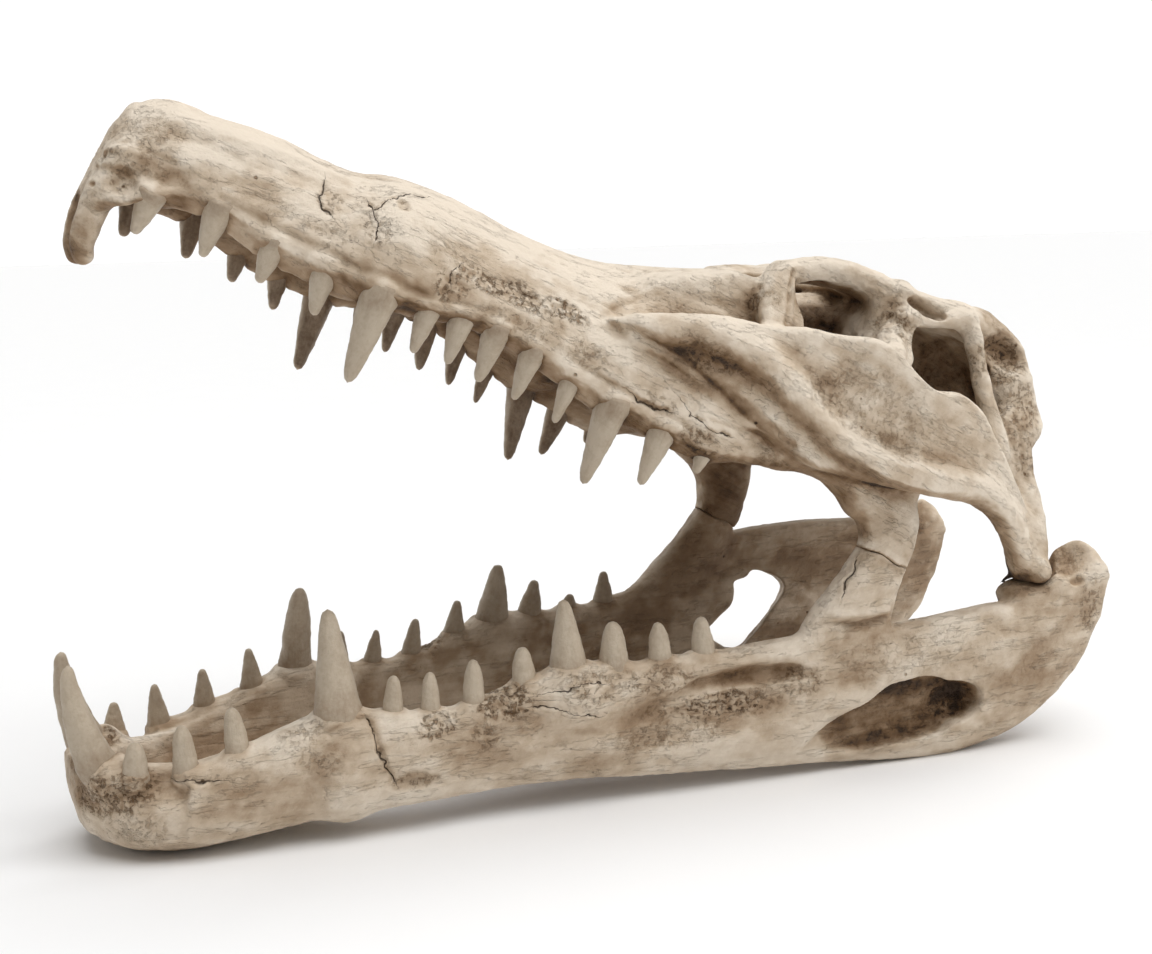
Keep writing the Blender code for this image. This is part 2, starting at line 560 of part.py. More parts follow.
def make_skull():
    """The upper skull with its teeth."""
    clay = Clay()

    def put(shape, blend=2.0):
        clay.add(shape, blend, skull_place)

    def carve(shape, blend=2.0):
        clay.cut(shape, blend, skull_place)

    put(snout())
    put(ball((217, 18, 2), (13, 10.5, 13)), 7.0)
    put(ball((151, 27, 0), (10, 8, 10)), 4.0)
    put(loft(20, 132, lambda a: (0.0, CORE_HALF(a), CORE_LOW(a), CORE_TOP(a), 2.8, 2.8)), 3.0)
    put(loft(44, 92, lambda a: (0.0, 30.5 - 0.06 * (a - 60), 53.0 + 0 * a, TABLE_TOP(a), 4.0, 2.5)), 3.0)
    put(loft(52, 128, lambda a: (0.0, 36.0 + 0.02 * a, PALATE_LOW(a), PALATE_LOW(a) + 9.0, 4.0, 2.5)), 3.0)
    flange = ((114, 34, -4.5), (101, 36.5, -1.8), (92, 37.5, 1.2), (84, 37.5, 2.6), (77, 37.3, 0.6),
              (71, 37, -3))
    put(horn(flange, (2.6, 3, 3, 3, 3.2, 3)), 3.0)
    jugal = plate(JUGAL, lambda a, c: JUGAL_OUT(a) - 2.6, level(3.0), 2.0)
    jugal.low[1] = 28.0
    jugal.high[1] = 52.0
    put(jugal, 2.5)
    put(horn(JUGAL_RIDGE, (3.6, 4.6, 5.0, 4.6, 4.4, 4.6, 4.6, 4.4, 4.0), steps=3, flat=0.75), 3.0)
    wall = plate(POST_ORBIT, wall_middle, level(3.2), 2.0)
    wall.low[1] = 18.0
    wall.high[1] = 42.0
    put(wall, 3.0)
    put(horn(((80, 33, 44), (81, 38, 38), (83, 42, 33)), (4.6, 5.0, 5.0)), 2.5)
    put(ball((82, 16, 43), (6, 10, 12)), 3.0)
    frontal = plate(FRONTAL, frontal_middle, level(8.5), 2.5)
    frontal.low[1] = 10.0
    frontal.high[1] = 32.0
    put(frontal, 4.0)
    put(horn(((110, 19, 46), (102, 19, 50), (94, 19, 53), (86, 19, 54.5)), (2.6, 2.6, 2.6, 2.6), flat=2.4))
    put(ball((80.5, 29, 58.6), (3.4, 3.2, 3.0)), 1.5)
    put(horn(((88, 27, 56.5), (76, 29.5, 57.8), (68, 30.5, 58.8), (61, 31, 60.4), (56, 31, 60.6)),
             (2.9, 3.0, 3.4, 3.8, 4.2)), 2.0)
    put(horn(((80, 34, 50.8), (74, 34.2, 52.4), (67, 34.4, 55.6), (60.3, 34.6, 59.2)), (2.4, 2.0, 2.0, 3.0)),
        1.5)
    put(horn(((49, 26, 59), (39, 27, 55.5), (29, 28.5, 46), (24, 30.5, 41)), (8.4, 9.2, 7.8, 7.0)), 3.0)
    put(horn(((30, 34, 38), (20.6, 35, 27), (11.0, 37, 16), (5.2, 38.5, 6)), (7.0, 5.7, 5.2, 4.8),
             flat=0.75), 3.0)
    put(ball((4.0, 38, 3.6), (5.4, 7.4, 4.8)), 2.0)
    put(horn(((5.5, 35, -3), (6, 33.5, -6.5), (8, 32.5, -9)), (3.2, 2.8, 2.4)), 2.0)
    put(ball((20, 0, 38), (8, 6.5, 6.5)), 2.5)
    carve(ball((19, 0, 49), (9, 5.5, 4)), 1.5)
    carve(ball((42.5, 39, 57), (10, 7.5, 6.2)), 2.0)
    carve(ball((73.5, 34.6, 56.4), (6.8, 4.6, 2.4)), 1.0)
    put(horn(((59, 34.6, 59), (56, 36, 55.5), (48.5, 37.6, 45.4), (42, 38.2, 38.8), (34.5, 37.6, 32.2),
              (26, 36, 26)), (3.0, 2.7, 2.8, 3.0, 3.2, 3.0)), 2.0)
    carve(ball((62, 14, 66), (11, 8, 7)), 2.0)
    carve(ball((264, 0, 21), (13, 6.5, 8)), 2.0)
    upper_groove = ((162, 30.0, 12), (152, 29, 21), (138, 30.5, 28.5), (124, 31, 31.5))
    carve(horn(upper_groove, (0.8, 1.6, 1.8, 1.4)), 2.0)
    lower_groove = ((164, 33, 10), (148, 37.5, 10.5), (132, 40.5, 8.5), (117, 42.5, 4.8), (102, 44.5, 1.5))
    carve(horn(lower_groove, (0.8, 2.4, 2.6, 2.4, 1.4)), 2.0)
    clay.mirror()
    put(horn(FAR_GUM, (2.0, 2.3, 2.3, 2.3, 2.3, 1.8)), 2.0)
    for side in (LEFT, RIGHT):
        back = BROW_BACK[side]
        brow = [(along - back * fade, side * y, up) for along, y, up, fade in BROW]
        put(horn(brow, (3.6, 3.3, 3.0, 2.9, 2.9)), 2.0)
        put(blade(side), 2.0)
        fold = ((111.5 - back, side * 32.8, 46), (110.8 - back, side * 34.6, 41), (109.5, side * 36.5, 34))
        carve(horn(fold, (3.0, 3.4, 3.2)), 1.0)
    clay.add(skull_post(LEFT), blend=4.0)
    clay.add(skull_post(RIGHT), blend=4.0)
    add_upper_teeth(clay)
    return clay


# -------------------------------------------------------------------- meshes
def keep_largest_body(mesh):
    """Remove loose crumbs: everything but the body with the most faces."""
    left = set(mesh.faces)
    bodies = []
    while left:
        body = [left.pop()]
        for face in body:
            for edge in face.edges:
                for neighbour in edge.link_faces:
                    if neighbour in left:
                        left.remove(neighbour)
                        body.append(neighbour)
        bodies.append(body)
    bodies.sort(key=len)
    crumbs = [face for body in bodies[:-1] for face in body]
    bmesh.ops.delete(mesh, geom=crumbs, context="FACES")
    loose = [vertex for vertex in mesh.verts if not vertex.link_faces]
    bmesh.ops.delete(mesh, geom=loose, context="VERTS")


def link(name, mesh):
    """A new object in the scene that holds the mesh."""
    item = bpy.data.objects.new(name, mesh)
    bpy.context.scene.collection.objects.link(item)
    return item


def settle(item, name):
    """A plain copy of the object with its modifiers applied, in one triangulated body."""
    bpy.context.view_layer.update()
    shaped = item.evaluated_get(bpy.context.evaluated_depsgraph_get())
    mesh = bpy.data.meshes.new_from_object(shaped)
    mesh.name = name
    body = bmesh.new()
    body.from_mesh(mesh)
    bmesh.ops.dissolve_degenerate(body, edges=body.edges, dist=SHORTEST_EDGE)
    keep_largest_body(body)
    bmesh.ops.triangulate(body, faces=body.faces)
    body.to_mesh(mesh)
    body.free()
    return mesh


def clay_to_body(clay, name, triangles):
    """The clay's surface as a light closed mesh in metres."""
    grid = openvdb.FloatGrid(FAR)
    grid.copyFromArray(clay.field)
    points, _, quads = grid.convertToPolygons(0.0, 0.0)
    places = (np.array(points) * VOXEL + clay.low - ORIGIN) * MM
    mesh = bpy.data.meshes.new(name)
    mesh.from_pydata(places.tolist(), [], np.array(quads).tolist())
    whole = bmesh.new()
    whole.from_mesh(mesh)
    keep_largest_body(whole)
    bmesh.ops.recalc_face_normals(whole, faces=whole.faces)
    count = 2 * len(whole.faces)
    whole.to_mesh(mesh)
    whole.free()
    body = link(name, mesh)
    thin = body.modifiers.new("Thin", "DECIMATE")
    thin.ratio = triangles / count
    light = settle(body, name)
    bpy.data.objects.remove(body)
    return link(name, light)


def block(name, frame, low, high, grow=0.0):
    """A cutter box between two corners in a frame, in metres."""
    mesh = bpy.data.meshes.new(name)
    box = bmesh.new()
    bmesh.ops.create_cube(box, size=2.0)
    for vertex in box.verts:
        ends = [high[i] + grow if vertex.co[i] > 0 else low[i] - grow for i in range(3)]
        x, z = skull_to_world(ends[0], ends[2]) if frame is skull_place else (ends[0], ends[2])
        vertex.co = ((x - ORIGIN[0]) * MM, ends[1] * MM, z * MM)
    if box.calc_volume(signed=True) < 0:
        bmesh.ops.reverse_faces(box, faces=box.faces)
    box.to_mesh(mesh)
    box.free()
    cutter = link(name, mesh)
    cutter.hide_render = True
    cutter.display_type = "WIRE"
    return cutter


def part_off(body, name, inside, outside):
    """One named solid: the body, within one box if it has one, and clear of some others."""
    item = link(name, body.data.copy())
    steps = [(block("spare", *box, CUT_GAP), "DIFFERENCE") for box in outside]
    if inside:
        steps.insert(0, (block("keep", *inside), "INTERSECT"))
    for cutter, operation in steps:
        cut = item.modifiers.new(operation.title(), "BOOLEAN")
        cut.operation = operation
        cut.object = cutter
        cut.solver = "EXACT"
    mesh = settle(item, name)
    for cutter, _ in steps:
        bpy.data.objects.remove(cutter)
    bpy.data.objects.remove(item)
    mesh.shade_smooth()
    mesh.set_sharp_from_angle(angle=math.radians(40))
    mesh.materials.clear()
    mesh.materials.append(bone_material(name))
    return link(name, mesh)


def bone_material(name):
    """Cream cast bone, for one solid."""
    bone = bpy.data.materials.new(name + "_bone")
    bone.use_nodes = True
    shader = bone.node_tree.nodes["Principled BSDF"]
    shader.inputs["Base Color"].default_value = BONE_COLOUR
    shader.inputs["Roughness"].default_value = BONE_ROUGHNESS
    return bone


def part_box(side, frame, sizes):
    """One of the boxes that part the skull, on one side: its frame and two corners."""
    along, across, up = sizes
    near, far = sorted((side * across[0], side * across[1]))
    return frame, (along[0], near, up[0]), (along[1], far, up[1])


def main():
    """Sculpt the two blocks and part them into the named solids."""
    for item in list(bpy.data.objects):
        bpy.data.objects.remove(item)
    jaw = make_jaw()
    skull = make_skull()
    skull.keep_clear_of(jaw, JAW_GAP)
    jaw_body = clay_to_body(jaw, "jaw", JAW_TRIANGLES)
    skull_body = clay_to_body(skull, "skull", SKULL_TRIANGLES)

    snout_box = (skull_place, *SNOUT_BOX)
    beside_roof = [snout_box]
    for side, word in SIDES:
        cheek = part_box(side, skull_place, CHEEK_BOX)
        hinge = part_box(side, skull_place, HINGE_BOX)
        post = part_box(side, skull_place, POST_BOX)
        heel = part_box(side, world_place, HEEL_BOX)
        foot = part_box(side, world_place, FOOT_BOX[side])
        beside_roof += [cheek, hinge, post]
        part_off(skull_body, "cheek_" + word, cheek, [snout_box, post])
        part_off(skull_body, "quadrate_" + word, hinge, [])
        part_off(skull_body, "strut_upper_" + word, post, [hinge])
        part_off(jaw_body, "jaw_heel_" + word, heel, [])
        part_off(jaw_body, "strut_lower_" + word, foot, [heel])
        part_off(jaw_body, "jaw_" + word, part_box(side, world_place, RAMUS_BOX), [foot])
    part_off(skull_body, "snout", snout_box, [])
    part_off(skull_body, "roof", None, beside_roof)
    bpy.data.objects.remove(jaw_body)
    bpy.data.objects.remove(skull_body)


if __name__ == "__main__":
    main()
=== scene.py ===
"""A crocodile skull cast in resin, jaws propped open, on a pale studio floor.

The two castings, the upper skull and the lower jaw, are sculpted as blocks of
digital clay, taken off as fine meshes, roughened by hand-tool marks and cut at
the middle plane into closed pieces. The teeth are set in rows by one Geometry
Nodes tree. Sizes in the sculpting classes are millimetres, with x counted from
the chin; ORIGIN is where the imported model's own origin lies.
"""

import logging
import math
from collections.abc import Callable, Sequence
from dataclasses import dataclass, field
from enum import Enum

import bmesh
import bpy
import numpy as np
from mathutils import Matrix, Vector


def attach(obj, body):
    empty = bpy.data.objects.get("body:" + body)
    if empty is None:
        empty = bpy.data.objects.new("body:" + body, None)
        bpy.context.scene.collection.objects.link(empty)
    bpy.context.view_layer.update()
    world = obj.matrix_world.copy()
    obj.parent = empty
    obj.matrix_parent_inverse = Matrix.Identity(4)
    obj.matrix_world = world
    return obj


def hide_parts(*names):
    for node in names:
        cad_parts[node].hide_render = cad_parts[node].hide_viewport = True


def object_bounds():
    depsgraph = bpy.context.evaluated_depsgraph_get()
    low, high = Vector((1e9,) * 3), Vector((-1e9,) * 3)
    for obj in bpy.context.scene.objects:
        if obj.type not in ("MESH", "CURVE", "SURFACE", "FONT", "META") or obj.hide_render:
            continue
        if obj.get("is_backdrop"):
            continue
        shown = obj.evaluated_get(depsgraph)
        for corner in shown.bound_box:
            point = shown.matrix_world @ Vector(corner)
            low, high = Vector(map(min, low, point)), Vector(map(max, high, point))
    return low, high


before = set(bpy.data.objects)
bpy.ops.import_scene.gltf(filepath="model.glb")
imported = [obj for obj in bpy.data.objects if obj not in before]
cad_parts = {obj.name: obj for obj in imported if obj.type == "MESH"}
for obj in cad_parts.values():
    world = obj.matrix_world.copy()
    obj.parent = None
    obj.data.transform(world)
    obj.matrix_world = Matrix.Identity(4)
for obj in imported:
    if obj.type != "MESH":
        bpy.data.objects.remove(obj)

import openvdb
from mathutils import Matrix, Vector

LOG = logging.getLogger("crocodile_skull")

MM = 0.001
# the clay's grid step
VOXEL = 0.5
# a distance past anything that is asked for
FAR = 50.0
ORIGIN = np.array((146.4, 0.0, 0.0))
# the block of clay that one half is made in
BLOCK_LOW = np.array((-8.0, 0.0, -3.0))
BLOCK_HIGH = np.array((304.0, 56.0, 198.0))
# how far the jaws are open, and the joint that the upper skull turns on
GAPE = math.radians(28.0)
JOINT_X = 275.0
JOINT_Z = 46.0
# between the two castings
JAW_GAP = 0.35

Field = np.ndarray
Point = tuple[float, float, float]
Curve = Callable[[Field], Field]
Place = Callable[[Field, Field], tuple[Field, Field]]
Socket = bpy.types.NodeSocket


class Side(Enum):
    """A side of the animal, by the sign of its y."""

    LEFT = -1
    RIGHT = 1

    @property
    def word(self) -> str:
        """The side's name as the pieces carry it."""
        return self.name.lower()

    def named(self, name: str) -> str:
        """A name with this side in place of its star."""
        return name.replace("*", self.word)


# --- curves
def profile(*knots: tuple[float, float]) -> Curve:
    """A smooth curve through knots, level beyond both ends.

    Args:
        knots: (station, value) pairs in rising order of station.

    Returns:
        The curve's value as a function of the station.
    """
    station, value = np.array(knots, dtype=float).T
    slope = np.gradient(value, station)

    def at(position: Field) -> Field:
        """The curve's value at each position."""
        place = np.clip(position, station[0], station[-1])
        index = np.clip(np.searchsorted(station, place, side="right") - 1, 0, len(station) - 2)
        span = station[index + 1] - station[index]
        t = (place - station[index]) / span
        rise = value[index + 1] - value[index]
        bend_in = slope[index] * span - rise
        bend_out = rise - slope[index + 1] * span
        return value[index] + rise * t + t * (1 - t) * (bend_in * (1 - t) + bend_out * t)

    return at


def smooth_path(points: Sequence[Sequence[float]], steps: int) -> list[np.ndarray]:
    """Points on a Catmull-Rom curve.

    Args:
        points: the points that the curve goes through.
        steps: how many stretches lie between two of them.

    Returns:
        The points of the curve, ends included.
    """
    knots = [np.array(point, dtype=float) for point in points]
    knots = [2 * knots[0] - knots[1]] + knots + [2 * knots[-1] - knots[-2]]
    path = []
    for index in range(1, len(knots) - 2):
        before, start, end, after = knots[index - 1:index + 3]
        for t in np.arange(steps) / steps:
            path.append(0.5 * (2 * start + (end - before) * t
                               + (2 * before - 5 * start + 4 * end - after) * t ** 2
                               + (3 * start - before - 3 * end + after) * t ** 3))
    path.append(knots[-2])
    return path


def smooth_min(first: Field, second: Field, blend: float) -> Field:
    """The lower of two fields, rounded where they cross."""
    weight = np.clip(0.5 + 0.5 * (second - first) / blend, 0.0, 1.0)
    return second + (first - second) * weight - blend * weight * (1.0 - weight)


def smooth_max(first: Field, second: Field, blend: float) -> Field:
    """The higher of two fields, rounded where they cross."""
    return -smooth_min(-first, -second, blend)


# --- shapes
@dataclass
class Shape:
    """A distance rule with the box that it needs."""

    low: np.ndarray
    high: np.ndarray
    distance: Callable[[Field, Field, Field], Field]


def ball(centre: Point, radii: Point) -> Shape:
    """An ellipsoid.

    Args:
        centre: its middle.
        radii: its half sizes along the three axes.

    Returns:
        The shape.
    """
    middle = np.array(centre, dtype=float)
    size = np.array(radii, dtype=float)

    def distance(a: Field, y: Field, c: Field) -> Field:
        """The distance of each place."""
        p = ((a - middle[0]) / size[0], (y - middle[1]) / size[1], (c - middle[2]) / size[2])
        near = np.sqrt(p[0] ** 2 + p[1] ** 2 + p[2] ** 2)
        steep = np.sqrt((p[0] / size[0]) ** 2 + (p[1] / size[1]) ** 2 + (p[2] / size[2]) ** 2)
        return near * (near - 1.0) / np.maximum(steep, 1e-6)

    return Shape(middle - size, middle + size, distance)


def horn(points: Sequence[Point], radii: Sequence[float], steps: int = 4, flat: float = 1.0) -> Shape:
    """A round tapered bar along a curve.

    Args:
        points: what the bar's middle line goes through.
        radii: its radii, spread evenly from end to end.
        steps: stretches between two points.
        flat: its width across y for each unit of its height.

    Returns:
        The shape.
    """
    path = smooth_path(points, steps)
    girth = np.interp(np.linspace(0.0, 1.0, len(path)), np.linspace(0.0, 1.0, len(radii)), radii)
    spread = max(radii)

    def distance(a: Field, y: Field, c: Field) -> Field:
        """The distance of each place."""
        best = None
        for start, end, wide, narrow in zip(path[:-1], path[1:], girth[:-1], girth[1:]):
            run = (end - start) * (1.0, 1.0 / flat, 1.0)
            pa = a - start[0]
            py = (y - start[1]) / flat
            pc = c - start[2]
            t = np.clip((pa * run[0] + py * run[1] + pc * run[2]) / (run @ run), 0.0, 1.0)
            away = np.sqrt((pa - run[0] * t) ** 2 + (py - run[1] * t) ** 2 + (pc - run[2] * t) ** 2)
            reach = (away - (wide + (narrow - wide) * t)) * min(flat, 1.0)
            best = reach if best is None else np.minimum(best, reach)
        return best

    return Shape(np.min(path, axis=0) - spread, np.max(path, axis=0) + spread, distance)


def loft(start: float, end: float, section: Callable[[Field], tuple]) -> Shape:
    """A solid along a whose sections are rounded boxes.

    Args:
        start: where it begins.
        end: where it ends.
        section: gives middle y, half width, bottom, top and the two powers at a station.

    Returns:
        The shape.
    """
    sizes = [section(station) for station in np.linspace(start, end, 30)]
    low = np.array((start, min(s[0] - s[1] for s in sizes), min(s[2] for s in sizes)))
    high = np.array((end, max(s[0] + s[1] for s in sizes), max(s[3] for s in sizes)))

    def distance(a: Field, y: Field, c: Field) -> Field:
        """The distance of each place."""
        middle, half, bottom, top, power_y, power_c = section(a)
        half = np.maximum(half, 0.3)
        tall = np.maximum((top - bottom) / 2.0, 0.3)
        across = np.abs(y - middle) / half
        up = np.abs(c - (top + bottom) / 2.0) / tall
        rim = (across ** power_y + up ** power_c) ** (1.0 / max(power_y, power_c))
        steep = np.sqrt((across / half) ** 2 + (up / tall) ** 2) / np.maximum(np.hypot(across, up), 1e-6)
        side = (rim - 1.0) / np.maximum(steep, 1e-6)
        return np.maximum(side, np.maximum(start - a, a - end))

    return Shape(low, high, distance)


def plate(outline: Sequence[tuple[float, float]], middle: Callable[[Field, Field], Field], half: float,
          edge: float, y_range: tuple[float, float]) -> Shape:
    """A plate with a smooth outline in the a-c plane.

    Args:
        outline: the corners of its outline.
        middle: y of its middle surface at a place.
        half: half its thickness.
        edge: how round its rim is.
        y_range: the y values that it may reach.

    Returns:
        The shape.
    """
    ring = np.array(smooth_path(list(outline) + [outline[0]], 4)[:-1])
    ends = np.roll(ring, -1, axis=0)
    low = np.array((ring[:, 0].min(), y_range[0], ring[:, 1].min()))
    high = np.array((ring[:, 0].max(), y_range[1], ring[:, 1].max()))

    def distance(a: Field, y: Field, c: Field) -> Field:
        """The distance of each place."""
        near = np.full(np.broadcast(a, c).shape, FAR ** 2)
        inside = np.zeros(near.shape, dtype=bool)
        for (a0, c0), (a1, c1) in zip(ring, ends):
            run_a = a1 - a0
            run_c = c1 - c0
            t = np.clip(((a - a0) * run_a + (c - c0) * run_c) / (run_a ** 2 + run_c ** 2), 0.0, 1.0)
            near = np.minimum(near, (a - a0 - run_a * t) ** 2 + (c - c0 - run_c * t) ** 2)
            if c0 != c1:
                inside ^= ((c0 > c) != (c1 > c)) & (a < a0 + (c - c0) * run_a / run_c)
        border = np.sqrt(near) * np.where(inside, -1.0, 1.0)
        return smooth_max(border, np.abs(y - middle(a, c)) - half, edge)

    return Shape(low, high, distance)


def slanted(shape: Shape, middle: float, along: float, up: float) -> Shape:
    """A shape that leans with y.

    Args:
        shape: the upright shape.
        middle: the y where it stays in place.
        along: how far it moves along for each step in y.
        up: how far it moves up for each step in y.

    Returns:
        The leaning shape.
    """
    spread = np.array((abs(along), 0.0, abs(up))) * float(np.abs(shape.high[1] - middle))

    def distance(a: Field, y: Field, c: Field) -> Field:
        """The distance of each place."""
        return shape.distance(a - along * (y - middle), y, c - up * (y - middle))

    return Shape(shape.low - spread, shape.high + spread, distance)


# --- clay
def world_place(x: Field, z: Field) -> tuple[Field, Field]:
    """Coordinates in the world frame."""
    return x, z


def skull_place(x: Field, z: Field) -> tuple[Field, Field]:
    """World x and z as u, forward from the jaw joint, and v, square to it.

    Args:
        x: how far behind the chin.
        z: the height.

    Returns:
        u and v.
    """
    ahead = JOINT_X - x
    above = z - JOINT_Z
    return (ahead * math.cos(GAPE) + above * math.sin(GAPE),
            above * math.cos(GAPE) - ahead * math.sin(GAPE))


def skull_to_world(u: Field, v: Field) -> tuple[Field, Field]:
    """u and v of the upper skull as world x and z.

    Args:
        u: how far ahead of the jaw joint.
        v: how far above it, square to u.

    Returns:
        x and z.
    """
    ahead = u * math.cos(GAPE) - v * math.sin(GAPE)
    above = u * math.sin(GAPE) + v * math.cos(GAPE)
    return JOINT_X - ahead, JOINT_Z + above


def skull_direction(arrows: np.ndarray) -> np.ndarray:
    """World directions in the upper skull's frame.

    Args:
        arrows: the directions, one to a row.

    Returns:
        Them as u, y and v.
    """
    forward = -arrows[:, 0] * math.cos(GAPE) + arrows[:, 2] * math.sin(GAPE)
    above = arrows[:, 2] * math.cos(GAPE) + arrows[:, 0] * math.sin(GAPE)
    return np.stack([forward, arrows[:, 1], above], axis=1)


def skull_point(point: Sequence[float]) -> np.ndarray:
    """A (u, y, v) point of the upper skull in the world frame."""
    x, z = skull_to_world(point[0], point[2])
    return np.array((x, point[1], z))


class Clay:
    """A block of clay: signed distances on a grid, first of one half only."""

    # how far past its box and its fillet a shape is worked out
    margin = 3.0

    def __init__(self) -> None:
        """An empty half block."""
        self.low = BLOCK_LOW.copy()
        counts = np.ceil((BLOCK_HIGH - self.low) / VOXEL).astype(int) + 1
        self.field = np.full(counts, FAR, dtype=np.float32)

    def _window(self, shape: Shape, place: Place, blend: float) -> tuple[tuple, tuple]:
        """The part of the grid that a shape can change, and the places in it.

        Args:
            shape: the shape.
            place: the frame that it is drawn in.
            blend: the size of its fillet.

        Returns:
            The slices of the grid, and the coordinates in them in the shape's frame.
        """
        corners = [(a, c) for a in (shape.low[0], shape.high[0]) for c in (shape.low[2], shape.high[2])]
        if place is skull_place:
            corners = [skull_to_world(a, c) for a, c in corners]
        spots = np.array(corners)
        reach = blend + self.margin
        low = np.array((spots[:, 0].min(), shape.low[1], spots[:, 1].min())) - reach
        high = np.array((spots[:, 0].max(), shape.high[1], spots[:, 1].max())) + reach
        first = np.clip(np.floor((low - self.low) / VOXEL).astype(int), 0, self.field.shape)
        last = np.clip(np.ceil((high - self.low) / VOXEL).astype(int) + 1, 0, self.field.shape)
        axes = [self.low[i] + VOXEL * np.arange(first[i], last[i]) for i in range(3)]
        a, c = place(axes[0][:, None, None], axes[2][None, None, :])
        return tuple(slice(i, j) for i, j in zip(first, last)), (a, axes[1][None, :, None], c)

    def add(self, shape: Shape, blend: float = 1.0, place: Place = world_place) -> None:
        """Add a shape.

        Args:
            shape: what is added.
            blend: the size of the fillet where it meets the rest.
            place: the frame that it is drawn in.
        """
        window, places = self._window(shape, place, blend)
        if self.field[window].size:
            self.field[window] = smooth_min(self.field[window], shape.distance(*places), blend)

    def cut(self, shape: Shape, blend: float = 1.0, place: Place = world_place) -> None:
        """Cut a shape away.

        Args:
            shape: what is cut.
            blend: how round the cut's edge is.
            place: the frame that it is drawn in.
        """
        window, places = self._window(shape, place, blend)
        if self.field[window].size:
            self.field[window] = smooth_max(self.field[window], -shape.distance(*places), blend)

    def mirror(self) -> None:
        """Grow the other half: from here on both sides are there."""
        self.field = np.concatenate([self.field[:, :0:-1], self.field], axis=1)
        self.low[1] = -VOXEL * (self.field.shape[1] // 2)

    def keep_clear_of(self, other: "Clay", gap: float) -> None:
        """Take away what is nearer to the other block than the gap."""
        self.field = np.maximum(self.field, gap - other.field)

    def surface(self) -> tuple[np.ndarray, np.ndarray]:
        """The clay's surface.

        Returns:
            Its points, in millimetres, and its four-sided faces, which look outwards.
        """
        grid = openvdb.FloatGrid(FAR)
        grid.copyFromArray(self.field)
        points, _, quads = grid.convertToPolygons(0.0, 0.0)
        places = np.array(points, dtype=float) * VOXEL + self.low
        faces = np.array(quads, dtype=np.int64)
        corner = places[faces[:, :3]]
        if np.einsum("ij,ij->", np.cross(corner[:, 0], corner[:, 1]), corner[:, 2]) < 0:
            faces = faces[:, ::-1]
        return places, faces


# --- tooth rows
@dataclass
class Tooth:
    """One tooth, from its base on the bone to its tip, in millimetres."""

    base: np.ndarray
    tip: np.ndarray
    thickness: float
    bow: np.ndarray = field(default_factory=lambda: np.zeros(3))
    blunt: bool = False

    @property
    def root(self) -> np.ndarray:
        """The end that is sunk in the bone."""
        run = self.tip - self.base
        return self.base - run * (0.4 * self.thickness / np.linalg.norm(run))

    @property
    def reach(self) -> np.ndarray:
        """The way from the root to the end of the rounded tip."""
        run = self.tip - self.root
        length = np.linalg.norm(run)
        return run * (length + max(0.95, 0.12 * self.thickness)) / length

    def away(self, points: np.ndarray) -> tuple[np.ndarray, np.ndarray]:
        """Where points lie by the tooth.

        Args:
            points: the points, one to a row.

        Returns:
            How far they are from its side, and how far up it from 0 to 1.
        """
        run = self.tip - self.root
        rise = (points - self.root) @ run / (run @ run)
        t = np.clip(rise, 0.0, 1.0)
        off = np.linalg.norm(points - self.root - t[:, None] * run, axis=1)
        return off - self.thickness / 2 * (1.04 - 0.55 * t), rise


# --- marks
@dataclass(frozen=True)
class Grain:
    """One layer of the roughness that the sculptor's tools left."""

    size: Point
    height: float
    seed: int

    def relief(self, places: np.ndarray) -> np.ndarray:
        """The height of its bumps at each point."""
        return self.height * value_noise(places, self.size, self.seed)


@dataclass(frozen=True)
class Groove:
    """A scored line, or a raised one if its depth is below 0, and how brown it is, as wash and painted shade
    in the crease.
    """

    points: np.ndarray
    width: float
    depth: float
    stain: float = 0.5


@dataclass(frozen=True)
class Patch:
    """A place with pits, a hollow or only brown, which is wash in some and painted shade in shaded places:
    its middle and its half sizes.
    """

    centre: np.ndarray
    radii: Point
    pits: float
    sink: float
    stain: float


@dataclass(frozen=True)
class Marks:
    """What was worked into one casting after it was shaped; a crack is its points."""

    grooves: list[Groove]
    patches: list[Patch]
    cracks: list[np.ndarray]


def both_sides(grooves: Sequence[tuple], patches: Sequence[tuple], cracks: Sequence[tuple]) -> Marks:
    """The marks of the left side, and the same on the right.

    Args:
        grooves: points, width, depth and brown (wash and painted shade) of each groove.
        patches: middle, half sizes, pits, sink and brown (wash and painted shade) of each patch.
        cracks: points of each crack.

    Returns:
        The marks of both sides.
    """
    flips = (np.array((1.0, 1.0, 1.0)), np.array((1.0, -1.0, 1.0)))
    return Marks([Groove(flip * points, *rest) for flip in flips for points, *rest in grooves],
                 [Patch(flip * centre, *rest) for flip in flips for centre, *rest in patches],
                 [flip * points for flip in flips for points in cracks])


